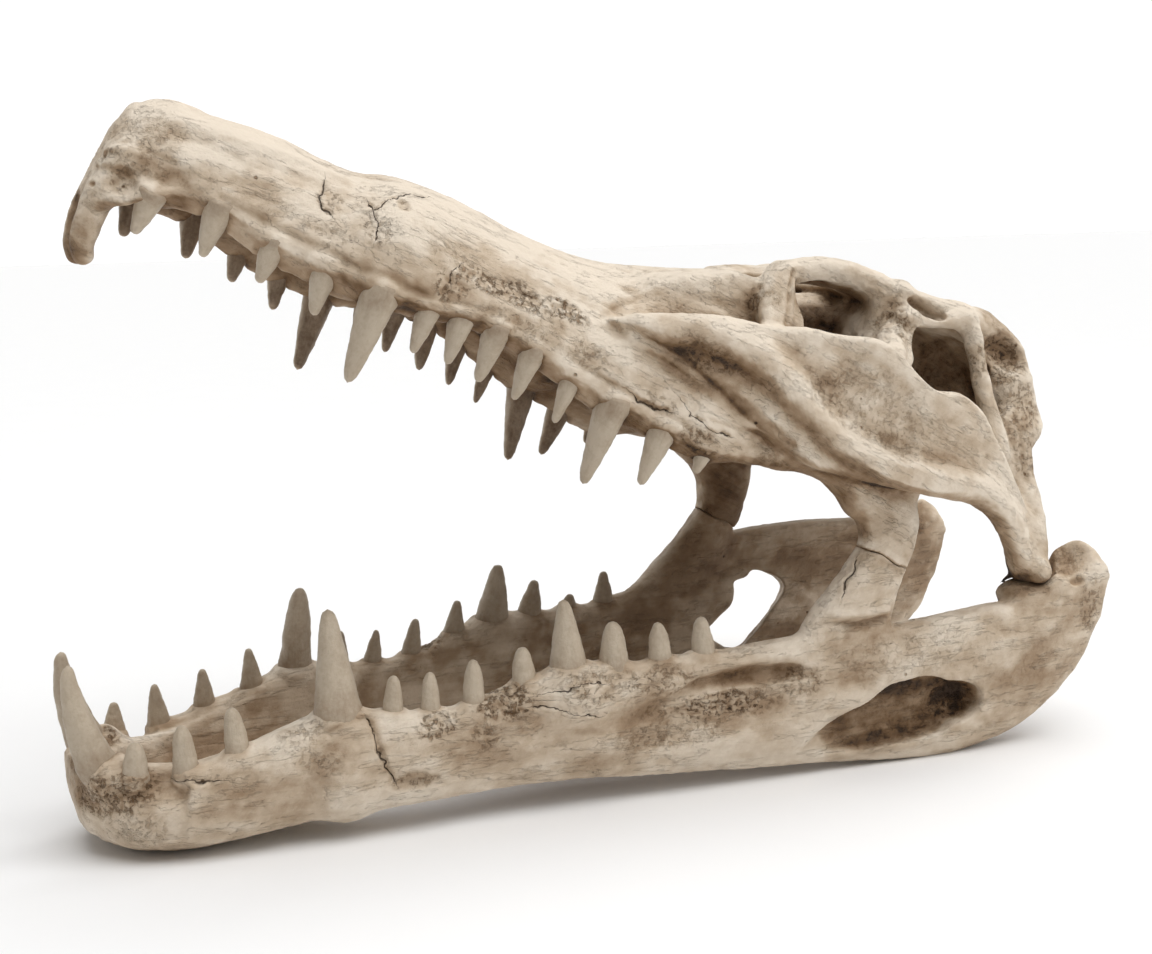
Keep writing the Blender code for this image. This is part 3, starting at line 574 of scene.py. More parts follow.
# --- lower jaw
@dataclass
class LowerJaw:
    """The lower jaw: two rami that meet in a broad chin, and the posts' feet."""

    start: float = -3.0
    end: float = 297.2
    chin_end: float = 80.0
    post_y: float = 37.0
    post_thick: float = 4.8
    # x and z of a point on the posts' glued joint, and its slope
    glue_line: Point = (215.0, 63.0, -0.56)
    bottom: Curve = profile(
        (-3, 18), (-0.8, 8.6), (3, 4.4), (9, 1.2), (18, -0.5), (32, -0.2), (42, 2.2), (54, 4.6), (80, 7.0),
        (108, 8.2), (150, 6.0), (195, 3.0), (225, 0.3), (243, -0.4), (256, 1.4), (268, 5.6), (281.5, 14.5),
        (291.2, 26), (296.4, 41), (297.2, 47))
    ramus_bottom: Curve = profile(
        (24, 6.5), (34, 4.6), (48, 5.2), (62, 6.0), (80, 7.0), (108, 7.6), (150, 5.6), (195, 2.6),
        (225, 0.3),
        (243, -0.4), (256, 1.4), (268, 5.6), (281.5, 14.5), (291.2, 26), (296.4, 41), (297.2, 47))
    rim: Curve = profile(
        (-4, 25), (0, 27), (8, 25), (24, 24), (38, 27.2), (52, 31.5), (64, 34), (78, 32), (98, 32),
        (112, 36.5),
        (126, 38.5), (150, 38.3), (170, 38.8), (190, 40), (226, 40.3), (254, 42.8), (268, 44.5), (276, 50),
        (281, 56.5), (287.5, 59.3), (292, 57.4), (295.4, 53.6), (297.0, 49.4), (297.2, 47.6))
    row: Curve = profile(
        (0, 10), (12, 18.5), (25, 20.5), (40, 21.8), (63, 22.8), (78, 26), (100, 27), (125, 29.2), (150, 32),
        (190, 35.5), (226, 38.6), (255, 40.4), (297.2, 40.5))
    half: Curve = profile(
        (20, 4.5), (62, 6.5), (80, 5.2), (105, 5.4), (126, 6.4), (150, 5.8), (190, 6.2), (226, 6.8),
        (255, 6.6),
        (285, 5.8), (297.2, 4.6))
    chin_width: Curve = profile(
        (-3, 0.3), (-2.6, 5), (-0.6, 10), (4, 15.5), (10, 20.5), (18, 23.8), (30, 25.8), (46, 26.5),
        (62, 27.5),
        (80, 28))
    trough_width: Curve = profile((7, 1), (13, 8.5), (24, 13.5), (42, 16.5), (64, 17.5), (92, 21))
    trough_floor: Curve = profile((7, 24), (13, 16), (24, 11.5), (45, 9.5), (60, 4), (72, -6), (92, -20))
    fenestra: tuple = ((188, 6), (199, 15), (212, 20.5), (219, 24.5), (231, 25.5), (240, 22), (248.5, 16),
                       (240, 10), (228, 6.8), (206, 5.5))
    window: tuple = ((203.9, 24), (205.3, 19.9), (211, 16.2), (216.2, 16), (220.7, 19.9), (227.4, 26.4),
                     (232.2, 32.6), (231.9, 36.2), (228.2, 38.9), (221.5, 41.4), (218.5, 39.3),
                     (214.2, 38.2),
                     (213.7, 34.6), (212.6, 30.8), (208.3, 27.4))
    window_wall: tuple = ((200, 10), (206, 30), (224, 38), (240, 32), (244, 22), (232, 10), (214, 6))
    post_front: Curve = profile(
        (36, 192.5), (42, 193.8), (46, 196.2), (50.5, 201), (60, 209.6), (64, 212.8), (70, 212.4),
        (77.5, 208.4),
        (84, 202), (92, 194))
    post_back: Curve = profile((36, 222.5), (46, 224), (55, 227), (60, 230), (66, 231.4), (77, 231.4),
                               (92, 234))
    post_shift: Curve = profile((56, -13.6), (66, -12.6), (74, -10.5), (90, -9.5))
    far_narrowing: float = 2.0
    great_tooth: float = 63.0
    slim_thickness: float = 8.2
    worn_tooth: float = 112.8
    worn_height: float = 44.0
    broken_tooth: float = 151.6
    broken_height: float = 42.0
    late_tooth: tuple = (50.5, 40.7, 6.0, -0.9, 2.0)
    # station along the jaw, height of the tip, thickness, lean back, lean inward
    tooth_row: tuple = (
        (11.8, 31.0, 6.0, 0.4, 0.0), (24.0, 34.2, 6.0, -0.6, 0.5), (37.0, 36.8, 6.0, -0.6, 2.2),
        (63.0, 57.6, 11.0, 0.6, 8.0), (76.8, 41.0, 5.2, 0.6, 0.4), (86.8, 40.2, 5.2, 0.9, 2.4),
        (98.8, 42.0, 5.8, 1.0, 2.4), (112.8, 45.6, 6.2, 0.6, 2.2), (125.4, 55.0, 9.8, 0.8, 4.4),
        (138.2, 48.3, 7.6, 1.0, 2.6), (151.6, 47.0, 6.4, 0.2, 1.8), (164.4, 47.5, 6.4, -0.2, 1.2),
    )
    # points of the line, width, depth (raised if below 0), how brown: wash and painted shade in the crease
    grooves: tuple = (
        (((70, -28.5, 31.7), (71.2, -30.8, 26), (72.6, -31, 20), (74.4, -31, 15.6)), 0.8, 0.7, 0.5),
        (((57, -29, 30), (61.6, -28.9, 31.4), (67, -28, 32.6), (71, -27, 32)), 0.7, 0.5, 0.35),
        (((192, -41.5, 43.6), (201, -41.8, 44.2), (210, -41.9, 43.2), (219.5, -40.9, 43.4)), 1, 1.2),
        (((191, -41.5, 45.8), (201, -41.8, 46.4), (210, -41.9, 45.4), (219.5, -40.9, 45.4)), 1.1, -1.2, 0),
        (((207, -38, 65.5), (213, -41.5, 62.6), (219, -41.8, 59.3), (225, -41, 56)), 0.9, 0.5, 0.6),
        (((276, -41, 49.5), (281, -43, 50.5), (286, -45, 51)), 1.2, 0.7, 0.5),
        (((120, -35.5, 20), (133, -36.6, 23.2), (148, -37.5, 27.5)), 2.2, 0.6, 0.3),
    )
    # middle, half sizes, how pitted, how deep, how brown: wash, and painted shade in the openings, the
    # joint's socket and on the posts
    patches: tuple = (
        ((6, -15, 19), (15, 12, 8), 0.8, 0, 0.35), ((4, -8, 26), (9, 8, 6), 0.9, 0, 0.5),
        ((14, -19, 10), (9, 8, 6), 0.45, 0, 0.2), ((50, -27, 31), (11, 6, 4), 0.5, 0, 0.3),
        ((57, -28, 24), (8, 6, 6), 0.3, 0, 0.35), ((81, -31, 14.4), (8.6, 5, 3.2), 0.5, 1.9, 0.7),
        ((88, -31, 28.5), (9, 6, 4), 0.9, 0, 0.25), ((106, -31, 32), (9, 8, 6), 1, 0.3, 0.35),
        ((100, -30, 24), (7, 6, 5), 0.6, 0, 0.2), ((128, -36, 34), (13, 6, 6), 0.6, 0, 0.1),
        ((150, -37, 33), (14, 6, 5), 0.6, 0, 0.1), ((165, -39.5, 24.5), (26, 6, 5), 0.9, 0, 0.3),
        ((191, -42, 29), (9, 6, 5), 0.5, 0, 0.25), ((150, -38, 18), (22, 6, 5), 0.4, 0, 0),
        ((241, -40, 17), (9, 6, 9), 0.7, 0, 0.8), ((222, -40, 8), (24, 5, 4), 0.2, 0, 0.8),
        ((220, -38.5, 17), (34, 5.4, 12), 0.2, 0, 0.95), ((283, -44, 52), (7, 7, 7), 0.2, 0, 0.35),
        ((284.2, -45.7, 47.6), (3.2, 3, 1.5), 0, 1.5, 0.9), ((290, -44, 40), (6, 8, 12), 0.5, 0, 0.1),
        ((225, -44, 32), (30, 8, 9), 0.25, 0, 0), ((265, -46, 30), (26, 8, 14), 0.12, 0, 0),
        ((178, -39, 31.6), (17, 6, 3.4), 0, 0, 0.45), ((150, -38, 25), (16, 6, 4), 0.2, 0, 0.3),
        ((205, -39, 53), (5, 6, 8), 0, 0, 0.25), ((270, -38, 46), (10, 8, 4.5), 0.3, 0, 0.9),
        ((281, -38, 53), (9, 9, 9), 0.4, 0, 0.6), ((212, -31, 60), (26, 5, 26), 0, 0, 0.6),
        ((4, -7, 33), (6, 8, 10), 0.5, 0, 0.5), ((214, -41, 64), (18, 4.6, 16), 0, 0, 0.22),
    )
    # points of each line
    cracks: tuple = (
        ((69, -27.5, 32.5), (70.2, -29.8, 28.5), (71, -30.8, 24.4), (73, -31, 19.4), (75, -31, 15)),
        ((113.5, -33.5, 30.2), (118.5, -35, 29.8), (123.5, -36, 27.6), (129.5, -36.8, 26.4)),
        ((19, -19.8, 21.6), (24, -24, 21.8), (30.5, -25.3, 21)),
        ((210.5, -38.9, 60.2), (207.4, -40.2, 56), (204.8, -41.2, 51.4)),
        ((114, -34, 33.5), (119.5, -35.6, 34.6), (127.5, -35.8, 35.2), (132.5, -35.4, 34.2)),
    )

    def shift(self, side: Side, z: Field) -> Field:
        """How far the post of a side stands in front of the left one."""
        return self.post_shift(z) if side is Side.RIGHT else 0.0 * z

    def post(self, side: Side, low: float, high: float) -> Shape:
        """The post that props the jaws open on one side.

        Args:
            side: the side that it stands on.
            low: the height where it begins.
            high: the height where it ends.

        Returns:
            The shape.
        """
        narrowing = self.far_narrowing if side is Side.RIGHT else 0.0

        def distance(x: Field, y: Field, z: Field) -> Field:
            """The distance of each place."""
            front = self.post_front(z) + self.shift(side, z)
            back = self.post_back(z) + self.shift(side, z) - narrowing
            along = np.abs(x - (front + back) / 2) / ((back - front) / 2)
            across = np.abs(side.value * y - self.post_y) / self.post_thick
            bar = ((along ** 2.6 + across ** 2.6) ** (1 / 2.6) - 1.0) * self.post_thick
            return np.maximum(bar, np.maximum(low - z, z - high))

        row = sorted((side.value * (self.post_y - 5.5), side.value * (self.post_y + 5.5)))
        return Shape(np.array((180, row[0], low)), np.array((242, row[1], high)), distance)

    def above_glue(self, side: Side, x: Field, z: Field) -> Field:
        """How far places are above the slanting joint between the two castings.

        Args:
            side: the side of the post.
            x: x of each place.
            z: z of each place.

        Returns:
            The distance, below 0 under the joint.
        """
        joint_x, joint_z, slope = self.glue_line
        shift = self.shift(side, np.array(joint_z))
        ragged = 0.3 * np.sin(x * 0.7)
        return (z - (joint_z + slope * (x - joint_x - shift)) - ragged) / math.hypot(1.0, slope)

    def post_part(self, side: Side, low: float, high: float, way: float) -> Shape:
        """The part of a post on one side of its glued joint.

        Args:
            side: the side of the post.
            low: the height where it begins.
            high: the height where it ends.
            way: 1 for the part under the joint, -1 for the part over it.

        Returns:
            The shape.
        """
        post = self.post(side, low, high)

        def distance(x: Field, y: Field, z: Field) -> Field:
            """The distance of each place."""
            return np.maximum(post.distance(x, y, z), way * self.above_glue(side, x, z) + JAW_GAP / 2)

        return Shape(post.low, post.high, distance)

    def foot(self, side: Side) -> Shape:
        """The part of a post that belongs to the lower jaw."""
        return self.post_part(side, 30, 74, 1.0)

    def stump(self, side: Side) -> Shape:
        """The part of a post that belongs to the upper skull."""
        return self.post_part(side, 50, 92, -1.0)

    def teeth(self, side: Side) -> list[Tooth]:
        """The teeth of one side: the row and the long fang at the front.

        Args:
            side: the side.

        Returns:
            The teeth.
        """
        sign = side.value
        rows = list(self.tooth_row) + ([self.late_tooth] if side is Side.RIGHT else [])
        teeth = []
        for station, height, thickness, lean, inward in rows:
            if side is Side.LEFT and station == self.worn_tooth:
                height = self.worn_height
            if side is Side.RIGHT and station == self.broken_tooth:
                height = self.broken_height
            if side is Side.RIGHT and station == self.great_tooth:
                thickness = self.slim_thickness
            across = self.row(np.array(station))
            base = np.array((station, sign * across, self.rim(np.array(station)) - 0.8))
            tip = np.array((station + lean, sign * (across - inward), height))
            blunt = thickness < 8.0 and side is Side.LEFT or thickness == self.slim_thickness
            teeth.append(Tooth(base, tip, thickness, blunt=blunt))
        fang = Tooth(np.array((5.2, sign * 11.0, 23.0)), np.array((-1.2, sign * 7.4, 49.6)), 9.0,
                     np.array((-2.0, sign * 0.4, 0.6)))
        return teeth + [fang]

    def marks(self) -> Marks:
        """What was worked into the jaw, on both sides."""
        return both_sides(self.grooves, self.patches, self.cracks)

    def sculpt(self) -> Clay:
        """The jaw without its teeth.

        Returns:
            Its clay.
        """
        clay = Clay()
        # the chin, a ramus and the swellings round its great teeth
        clay.add(loft(self.start, self.chin_end,
                      lambda a: (0.0, self.chin_width(a), self.bottom(a), self.rim(a), 2.6, 2.6)))
        clay.add(loft(24, self.end, lambda a: (self.row(a), self.half(a), self.ramus_bottom(a), self.rim(a),
                                               2.6, 3.0)), blend=3.0)
        clay.add(ball((64, 23.5, 19), (9, 7.5, 14)), blend=5.0)
        clay.add(ball((126, 30, 30.5), (9, 6.2, 9)), blend=5.0)
        clay.add(ball((7, 12.5, 22), (6.5, 6.0, 6.0)), blend=3.0)
        # the trough between the rami
        clay.cut(loft(7, 92, lambda a: (0.0, self.trough_width(a), self.trough_floor(a), 70.0 + 0 * a,
                                        2.2, 2.2)), blend=2.0)
        # the long slot and the hollows on the ramus's outside
        slot = ((132, 38.6, 17), (144, 38.2, 24), (158, 38.6, 29.6), (172, 39.4, 31.6), (186, 40.6, 31.6),
                (193, 42.5, 30.8))
        clay.cut(horn(slot, (0.9, 2.0, 2.4, 2.9, 3.2, 2.0)), blend=1.5)
        bowl = ((136, 43.4, 14), (152, 45.4, 20), (170, 47.6, 23.5), (188, 49.6, 25.5))
        clay.cut(horn(bowl, (5.0, 8.8, 9.4, 7.0)), blend=2.5)
        clay.cut(plate(self.fenestra, lambda a, c: 48.0, 7.8, 2.0, (30.0, 56.0)), blend=1.0)
        clay.cut(ball((241, 45.5, 16.5), (8.5, 6.5, 6.0)), blend=2.0)
        clay.cut(ball((226, 45.8, 12.0), (14, 6.2, 5.0)), blend=2.0)
        # the socket of the joint
        clay.cut(ball((283, 47, 60), (8.5, 9, 12)), blend=2.0)
        clay.cut(ball((272, 38, 54), (9, 8, 8)), blend=1.5)
        clay.add(ball((270, 37.5, 44.2), (8, 6, 4.4)), blend=2.0)
        # a collar round each tooth
        for station, _, thickness, _, _ in self.tooth_row:
            collar = (thickness / 2 + 0.7, thickness / 2 + 0.5, 3.4)
            place = np.array(station)
            middle = (station, float(self.row(place)), float(self.rim(place)) - 1.6)
            clay.add(ball(middle, collar), blend=2.0)
        clay.mirror()
        # the posts' feet, and what only the far ramus has: its heel, web and window
        clay.add(self.foot(Side.LEFT), blend=1.5)
        clay.add(self.foot(Side.RIGHT), blend=3.0)
        heel = ((168, 34, 35), (184, 35, 40), (196, 36.5, 47), (204, 37, 55))
        clay.add(horn(heel, (3.0, 5.0, 6.5, 6.0), flat=0.8), blend=3.0)
        web = ((204, 40), (208, 53), (232, 55.8), (262, 54.6), (286, 52), (286, 38), (240, 34))
        clay.add(plate(web, lambda a, c: 38.5, 3.6, 2.5, (30.0, 46.0)), blend=3.0)
        clay.add(plate(self.window_wall, lambda a, c: 38.2, 5.4, 2.5, (30.0, 46.0)), blend=2.0)
        opening = plate(self.window, lambda a, c: 38.0, 16.0, 2.0, (24.0, 52.0))
        clay.cut(slanted(opening, 38.0, 0.5, -0.26), blend=1.0)
        return clay


# --- upper skull
@dataclass
class UpperSkull:
    """The upper skull: snout, cheeks, roof, wings and the bars to the joint."""

    jaw: LowerJaw
    tip: float = 291.2
    width: Curve = profile(
        (100, 30), (112, 38), (123, 39.5), (139, 37), (155, 35), (170, 33), (185, 31.5), (205, 31.5),
        (219, 31),
        (229, 28), (240, 24), (252, 21), (264, 18.5), (274, 16.5), (281, 14.5), (286, 11.5), (289.2, 7.5),
        (290.6, 4), (291.2, 0.5))
    top: Curve = profile(
        (100, 40), (112, 42), (120, 41.5), (134, 38.2), (146, 33.6), (157, 29.2), (166, 26.8), (176, 25.4),
        (188, 24.4), (207, 24.4), (216, 23.4), (224, 21.8), (230, 19.2), (236, 17.8), (250, 17.5),
        (262, 16.6),
        (273, 14.3), (282, 12.6), (286, 9.6), (289.4, 4.6), (290.8, -4), (291.2, -11))
    margin: Curve = profile(
        (96, -1.4), (106, -5.8), (122, -9.8), (139, -9), (154, -8.6), (167, -7), (183, -5), (195, -5.2),
        (208, -7.8), (219, -9.8), (230, -10.4), (248, -9.8), (262, -7.6), (270, -9.4), (275, -11.6),
        (279, -15.0), (283, -18), (286, -19), (290.8, -19))
    palate: Curve = profile((52, 9.5), (62, 7.5), (77, 4), (90, 1.5), (104, -2), (128, -6))
    gum: Curve = profile((104, 0), (114, 3), (134, 4.5), (150, 5), (165, 4.5), (190, 4), (262, 4.8),
                         (272, 3.5),
                         (280, 0))
    arch: Curve = profile((96, 7), (150, 7), (220, 6), (262, 4), (285, 1))
    core_half: Curve = profile((20, 16), (32, 20), (60, 20), (90, 16), (112, 19), (132, 26))
    core_top: Curve = profile((20, 46), (34, 58), (60, 59), (86, 53), (100, 47), (112, 41.5), (132, 35))
    core_low: Curve = profile((20, 30), (34, 14), (60, 9), (80, 5), (100, 0), (132, -5))
    table_top: Curve = profile((44, 64), (58, 62.4), (70, 60.6), (84, 60), (92, 58))
    # u, y and v of the bar over the eye, and how much of the far side's shift each point takes
    brow: tuple = ((116.5, 26, 45.5, 1.0), (113, 26.5, 48.9, 1.0), (106, 26.5, 53.1, 1.0),
                   (98, 27, 56.0, 0.6),
                   (88, 27, 57.4, 0.0))
    far_brow_back: float = 8.5
    blade: tuple = ((119, 49), (115.5, 49.5), (114, 45.5), (110.5, 40.5), (107, 35), (107, 27), (117, 26),
                    (122, 33), (123.2, 40), (121.8, 45.5))
    jugal: tuple = (
        (163, 11.5), (150, 17), (134, 25), (119, 29.5), (111, 33), (101, 36), (92, 39), (84, 39), (75, 36),
        (67, 35), (59, 37.5), (50, 36), (40, 31), (24, 22), (6, 12.5), (-1, 6), (2, 0), (9, -1), (21, 11.5),
        (30, 16), (42, 16.2), (58, 10.2), (76, 3.2), (92, 0), (104, 1), (118, 4), (133, 7.5), (150, 9.5))
    jugal_out: Curve = profile((-2, 38.5), (10, 40.5), (28, 44), (48, 46.5), (70, 47.5), (90, 46.5),
                               (105, 43.5),
                               (120, 40), (135, 37), (150, 34), (166, 30.5))
    jugal_ridge: tuple = ((152, 33.5, 13), (138, 36.5, 19), (120, 40, 20), (104, 43.5, 15), (88, 46.5, 9),
                          (66, 47.2, 10), (46, 46.2, 15.0), (28, 44, 13.7), (10, 40.5, 4.4))
    post_orbit: tuple = ((88, 56), (84, 58.5), (78, 58), (75.3, 52), (75, 45), (74, 40), (77, 35), (86, 35),
                         (86, 41), (86, 48))
    frontal: tuple = ((150, 27), (146, 30.6), (141, 34.2), (134.6, 37.6), (129.9, 40.2), (123.6, 41.4),
                      (114, 43), (111, 37), (114, 28), (122, 26.5), (134, 24), (146, 19.5), (151, 20))
    tooth_inset: float = 3.6
    far_extra: float = 0.8
    # station along the snout, length, thickness, lean back, lean inward
    tooth_row: tuple = (
        (276.3, 7.8, 7.6, -0.6, 3.5), (261.0, 10.8, 8.0, -1.9, 5.0), (246.0, 8.4, 7.4, -1.2, 3.0),
        (232.9, 9.6, 7.2, -2.4, 1.6), (218.9, 21.8, 9.0, -2.6, 2.6), (206.0, 10.6, 6.4, -1.8, 2.4),
        (197.0, 11.2, 6.6, -2.0, 1.2), (186.9, 12.3, 7.6, -2.5, 4.0), (175.7, 11.6, 6.8, -1.9, 3.2),
        (163.4, 10.8, 5.4, -1.1, 0.8), (150.3, 20.6, 9.0, -3.9, 4.8), (134.6, 14.1, 7.4, -0.6, 0.2),
        (121.3, 4.6, 5.4, -0.2, 0.0),
    )
    # points of the line, width, depth (raised if below 0), how brown: wash and painted shade in the crease
    grooves: tuple = (
        (((158, -29, 14), (153.4, -32, 12.6), (145.3, -35.3, 11.1), (135.9, -36.7, 9.4),
          (125.2, -38.6, 6.6), (117.3, -39.7, 4), (110, -41.1, 2.2), (99.6, -42.4, -1)), 1.1, 0.7, 0.2),
        (((159.2, -28, 15), (152.1, -24.8, 21), (144.9, -23.3, 25.4), (137.7, -22.4, 29.1),
          (131.4, -24.7, 31.3)), 1.4, 0.8, 0.35),
        (((283, -5, 10.8), (273.7, -6.2, 12.9), (261, -8.6, 14.3), (247.6, -9, 15.6),
          (236, -10, 15.9)), 2.4, 0.9, 0.08),
        (((279, -10.7, 7.8), (268.9, -12.1, 9.5), (257.7, -13.2, 11.2), (247.8, -13.4, 12.9),
          (236, -14.4, 13.8)), 2, -0.7, 0),
        (((272, -13.8, 4.6), (262, -16.4, 5.4), (250, -17.5, 8.2), (240, -19, 8.8)), 2.2, 0.5, 0.06),
        (((289.3, -8.5, -11), (284.5, -12.6, -10), (279, -15, -7.2), (272, -16, -6)), 2.6, 1, 0.3),
        (((284.2, -12.4, 1), (287.2, -10, -3.5), (289.5, -8, -9)), 0.6, 0.6, 0.5),
        (((281, -12.3, -2.6), (278, -13.4, -2.3), (274.8, -14.4, -2.2)), 0.7, 0.9, 0.9),
        (((290.2, -7, -3.8), (288.8, -8.6, 0), (287.2, -9.6, 3.2)), 0.6, 0.5, 0.5),
        (((289.6, -8, -6.2), (286.4, -10.6, -4.6), (282.6, -12.2, -4.2)), 1.2, -0.8, 0),
        (((289.8, -7, -9.5), (287, -10, -9), (284.4, -11.2, -10.4)), 1.1, -0.7, 0),
        (((287.6, -9.4, -6.6), (284.6, -11.4, -6.6), (281, -12.6, -7.2)), 0.9, 0.7, 0.5),
        (((262, -19.5, -5.4), (240, -24, -6.2), (215, -31, -6.2), (190, -32, -1), (168, -34, -2.6),
          (150, -35.6, -4.6), (130, -38, -5.4)), 1.1, 0.5, 0.12),
        (((262, -19.2, -3.2), (240, -24, -3.8), (215, -31, -3.6), (190, -32, 1.4),
          (168, -33.6, 0.2)), 1.2, -0.35, 0),
        (((116.1, -31, 47.1), (115.6, -33, 41.8), (114.2, -34, 37), (113.4, -36, 31.2)), 0.7, 0.8, 0.6),
        (((109, -36, 26), (96, -44.4, 20.5), (84, -47, 15.8), (66, -47.5, 15),
          (48, -46.6, 17.6)), 2, 0.6, 0.15),
        (((62, -32, 59.6), (58, -33, 57), (55, -35, 54)), 1, 0.8, 0.6),
        (((148, -34.5, 14), (136, -37.4, 18.5), (120, -41, 18.5), (104, -44.8, 13), (88, -48, 7.5),
          (66, -48.8, 8.4), (48, -47.6, 12.5)), 3, -0.9, 0),
        (((40, -38, 50), (34, -38.6, 44), (27, -39, 35), (20, -40, 26)), 1, 0.9, 0.5),
        (((33, -33, 52), (27, -34, 46), (22, -35, 38), (16, -36, 28)), 0.9, 0.8, 0.4),
    )
    # middle, half sizes, how pitted, how deep, how brown: wash, and painted shade in the eye, the openings
    # behind it, under the snout and on the nose's side
    patches: tuple = (
        ((196, -30, 5), (9, 9, 3.6), 0.9, 0, 0.14), ((184, -30, 6.4), (9, 9, 4), 1, 0.2, 0.26),
        ((172, -30, 8.4), (9, 9, 3), 1, 0.2, 0.26), ((204, -31, 0.5), (5, 6, 5), 0.7, 0.3, 0.2),
        ((184, -31, -1), (16, 8, 4), 0.35, 0, 0.15), ((162, -34, 0), (8, 6, 5), 0.45, 0, 0.42),
        ((175, -32, 1.5), (5, 5, 6), 0.2, 0, 0.4), ((120, -29, 36), (6, 8, 6), 0.7, 0, 0.4),
        ((45, -29, 64), (13, 10, 6), 0.3, 0, 0.6), ((287, -8, -20), (9, 10, 17), 0.2, 0, 0.5),
        ((288, -8, -6), (6, 9, 14), 0.3, 0, 0.4), ((225, -27, -3), (64, 9, 9), 0, 0, 0.5),
        ((284, -11, -2), (8, 8, 12), 0.3, 0, 0.3), ((126, -39, -7), (9, 6, 4), 0.7, 0, 0.35),
        ((140, -37, -2.5), (7, 5, 3), 0.5, 0, 0.1), ((226, -26, 5.5), (5, 9, 6), 0.5, 0.2, 0.18),
        ((238, -20.5, 6), (4, 6, 4), 0.6, 0.3, 0.35), ((221.5, -24, 13.6), (2.4, 4, 2.4), 0.5, 0.8, 0.6),
        ((281.5, -11.5, -12), (6.5, 7, 4.4), 0.4, 1.4, 0.75), ((275, -16, -3), (6, 5, 3), 0.2, 0.5, 0.2),
        ((250, -20, -1.5), (10, 7, 5), 0.2, 0, 0.15), ((236, -25, -2), (12, 7, 4), 0.35, 0, 0.3),
        ((205, -31, 8), (12, 6, 4), 0.25, 0, 0), ((82, -48, 22), (30, 8, 14), 0.32, 2.8, 0),
        ((98, -46, 20), (11, 6, 7), 0.4, 0.5, 0), ((74, -48, 17), (17, 6, 6), 0.3, 0.4, 0),
        ((135, -38, 14), (14, 7, 6), 0.35, 0, 0.1), ((98, -17, 40), (16, 9, 15), 0.3, 0.8, 0.85),
        ((99, -20, 49.5), (17, 8, 5.5), 0.2, 0, 1.3), ((70, -30.5, -15), (22, 5, 18), 0, 0, 0.6),
        ((106, -22, 38), (10, 14, 10), 0.2, 0, 0.7), ((80, -33, 47), (8, 9, 12), 0.7, 0, 0.34),
        ((72, -32, 55), (9, 7, 3.6), 0.3, 0, 0.6), ((52, -24, 44), (16, 13, 12), 0.3, 1, 0.75),
        ((63, -24, 36), (14, 14, 12), 0.2, 0, 0.7), ((43, -35, 55), (12, 9, 10), 0.7, 0.6, 0.75),
        ((31, -36, 43), (10, 8, 12), 0.6, 0.6, 0.5), ((22, -38, 34), (8, 6, 10), 0.5, 0, 0.25),
        ((52, -37, 50), (6, 6, 8), 0.6, 0, 0.3), ((8.5, -34, -6.5), (8, 8, 5.5), 0, 0, 1.6),
        ((5, -38, 2), (9, 9, 8), 0.3, 0, 0.9), ((262, -18, -4), (14, 7, 5), 0.15, 0, 0.2),
        ((283, -12, 0), (13, 9, 15), 0.3, 0, 0.62), ((100, -36, -3), (14, 5, 5), 0.3, 0, 0.5),
        ((289.2, -8.5, -14.9), (1.3, 3, 1.3), 0, 0.9, 1.8),
    )
    # points of each line
    cracks: tuple = (
        ((229.4, -22.6, 10.2), (227.8, -24.4, 8.4), (226.2, -26.8, 5.6), (225.9, -28.1, 2.4)),
        ((227.8, -23.9, 9.8), (225.6, -22.4, 12.8), (221, -20, 16.4), (216, -18.5, 18.4)),
        ((240.5, -17, 10.6), (239.7, -19, 7.6), (240.4, -20.6, 5.4), (237.2, -22.1, 3.2)),
        ((203.5, -29.8, 6.4), (205.4, -30.6, 3.2), (204.6, -30.9, 1.4)),
        ((135, -38, 0.6), (130, -39, -2.4), (124, -39.4, -3.4), (119, -39.8, -2.6)),
        ((150, -35, -3.6), (143, -36.4, -4.6), (137, -37.4, -3.8)),
    )

    @staticmethod
    def wall_middle(u: Field, v: Field) -> Field:
        """y of the wall behind the eye: further in at the front, further out below."""
        return 34.0 - 0.7 * (u - 75.0) + 0.5 * np.clip(46.0 - v, 0.0, 10.0)

    @staticmethod
    def frontal_middle(u: Field, v: Field) -> Field:
        """y of the middle of the roof before the eye: it narrows forward."""
        return 21.0 - 0.25 * np.clip(u - 130.0, 0.0, 30.0)

    def dome(self) -> Shape:
        """The snout: a dome over an arched palate.

        Returns:
            The shape.
        """
        def section(u: Field) -> tuple:
            """The dome's sizes at a station."""
            height = self.top(u) - self.margin(u)
            return 0.0, self.width(u), self.margin(u) - height, self.top(u), 2.3, 2.0

        shell = loft(102, self.tip, section)

        def distance(u: Field, y: Field, v: Field) -> Field:
            """The distance of each place."""
            width = self.width(u)
            arch = self.arch(u) * (1.0 - np.clip(y / width, 0.0, 1.2) ** 2)
            gum = self.gum(u) * np.exp(-((y - width + 5.6) / 3.4) ** 2)
            return smooth_max(shell.distance(u, y, v), self.margin(u) + arch - gum - v, 3.0)

        return Shape(np.array((102, 0, -22)), np.array((291.4, 44, 52)), distance)

    def teeth(self, side: Side) -> list[Tooth]:
        """The teeth of one side.

        Args:
            side: the side.

        Returns:
            The teeth.
        """
        sign = side.value
        teeth = []
        for station, length, thickness, lean, inward in self.tooth_row:
            if side is Side.RIGHT:
                length += self.far_extra
            row = self.width(np.array(station)) - self.tooth_inset
            edge = self.margin(np.array(station))
            base = skull_point((station, sign * row, edge + 0.8))
            tip = skull_point((station + lean, sign * (row - inward), edge - length))
            teeth.append(Tooth(base, tip, thickness))
        return teeth

    def marks(self) -> Marks:
        """What was worked into the upper skull, on both sides."""
        return both_sides(self.grooves, self.patches, self.cracks)

    def sculpt(self) -> Clay:
        """The upper skull without its teeth.

        Returns:
            Its clay.
        """
        clay = Clay()

        def put(shape: Shape, blend: float = 2.0) -> None:
            """Add a shape that is given in the skull's own frame."""
            clay.add(shape, blend, skull_place)

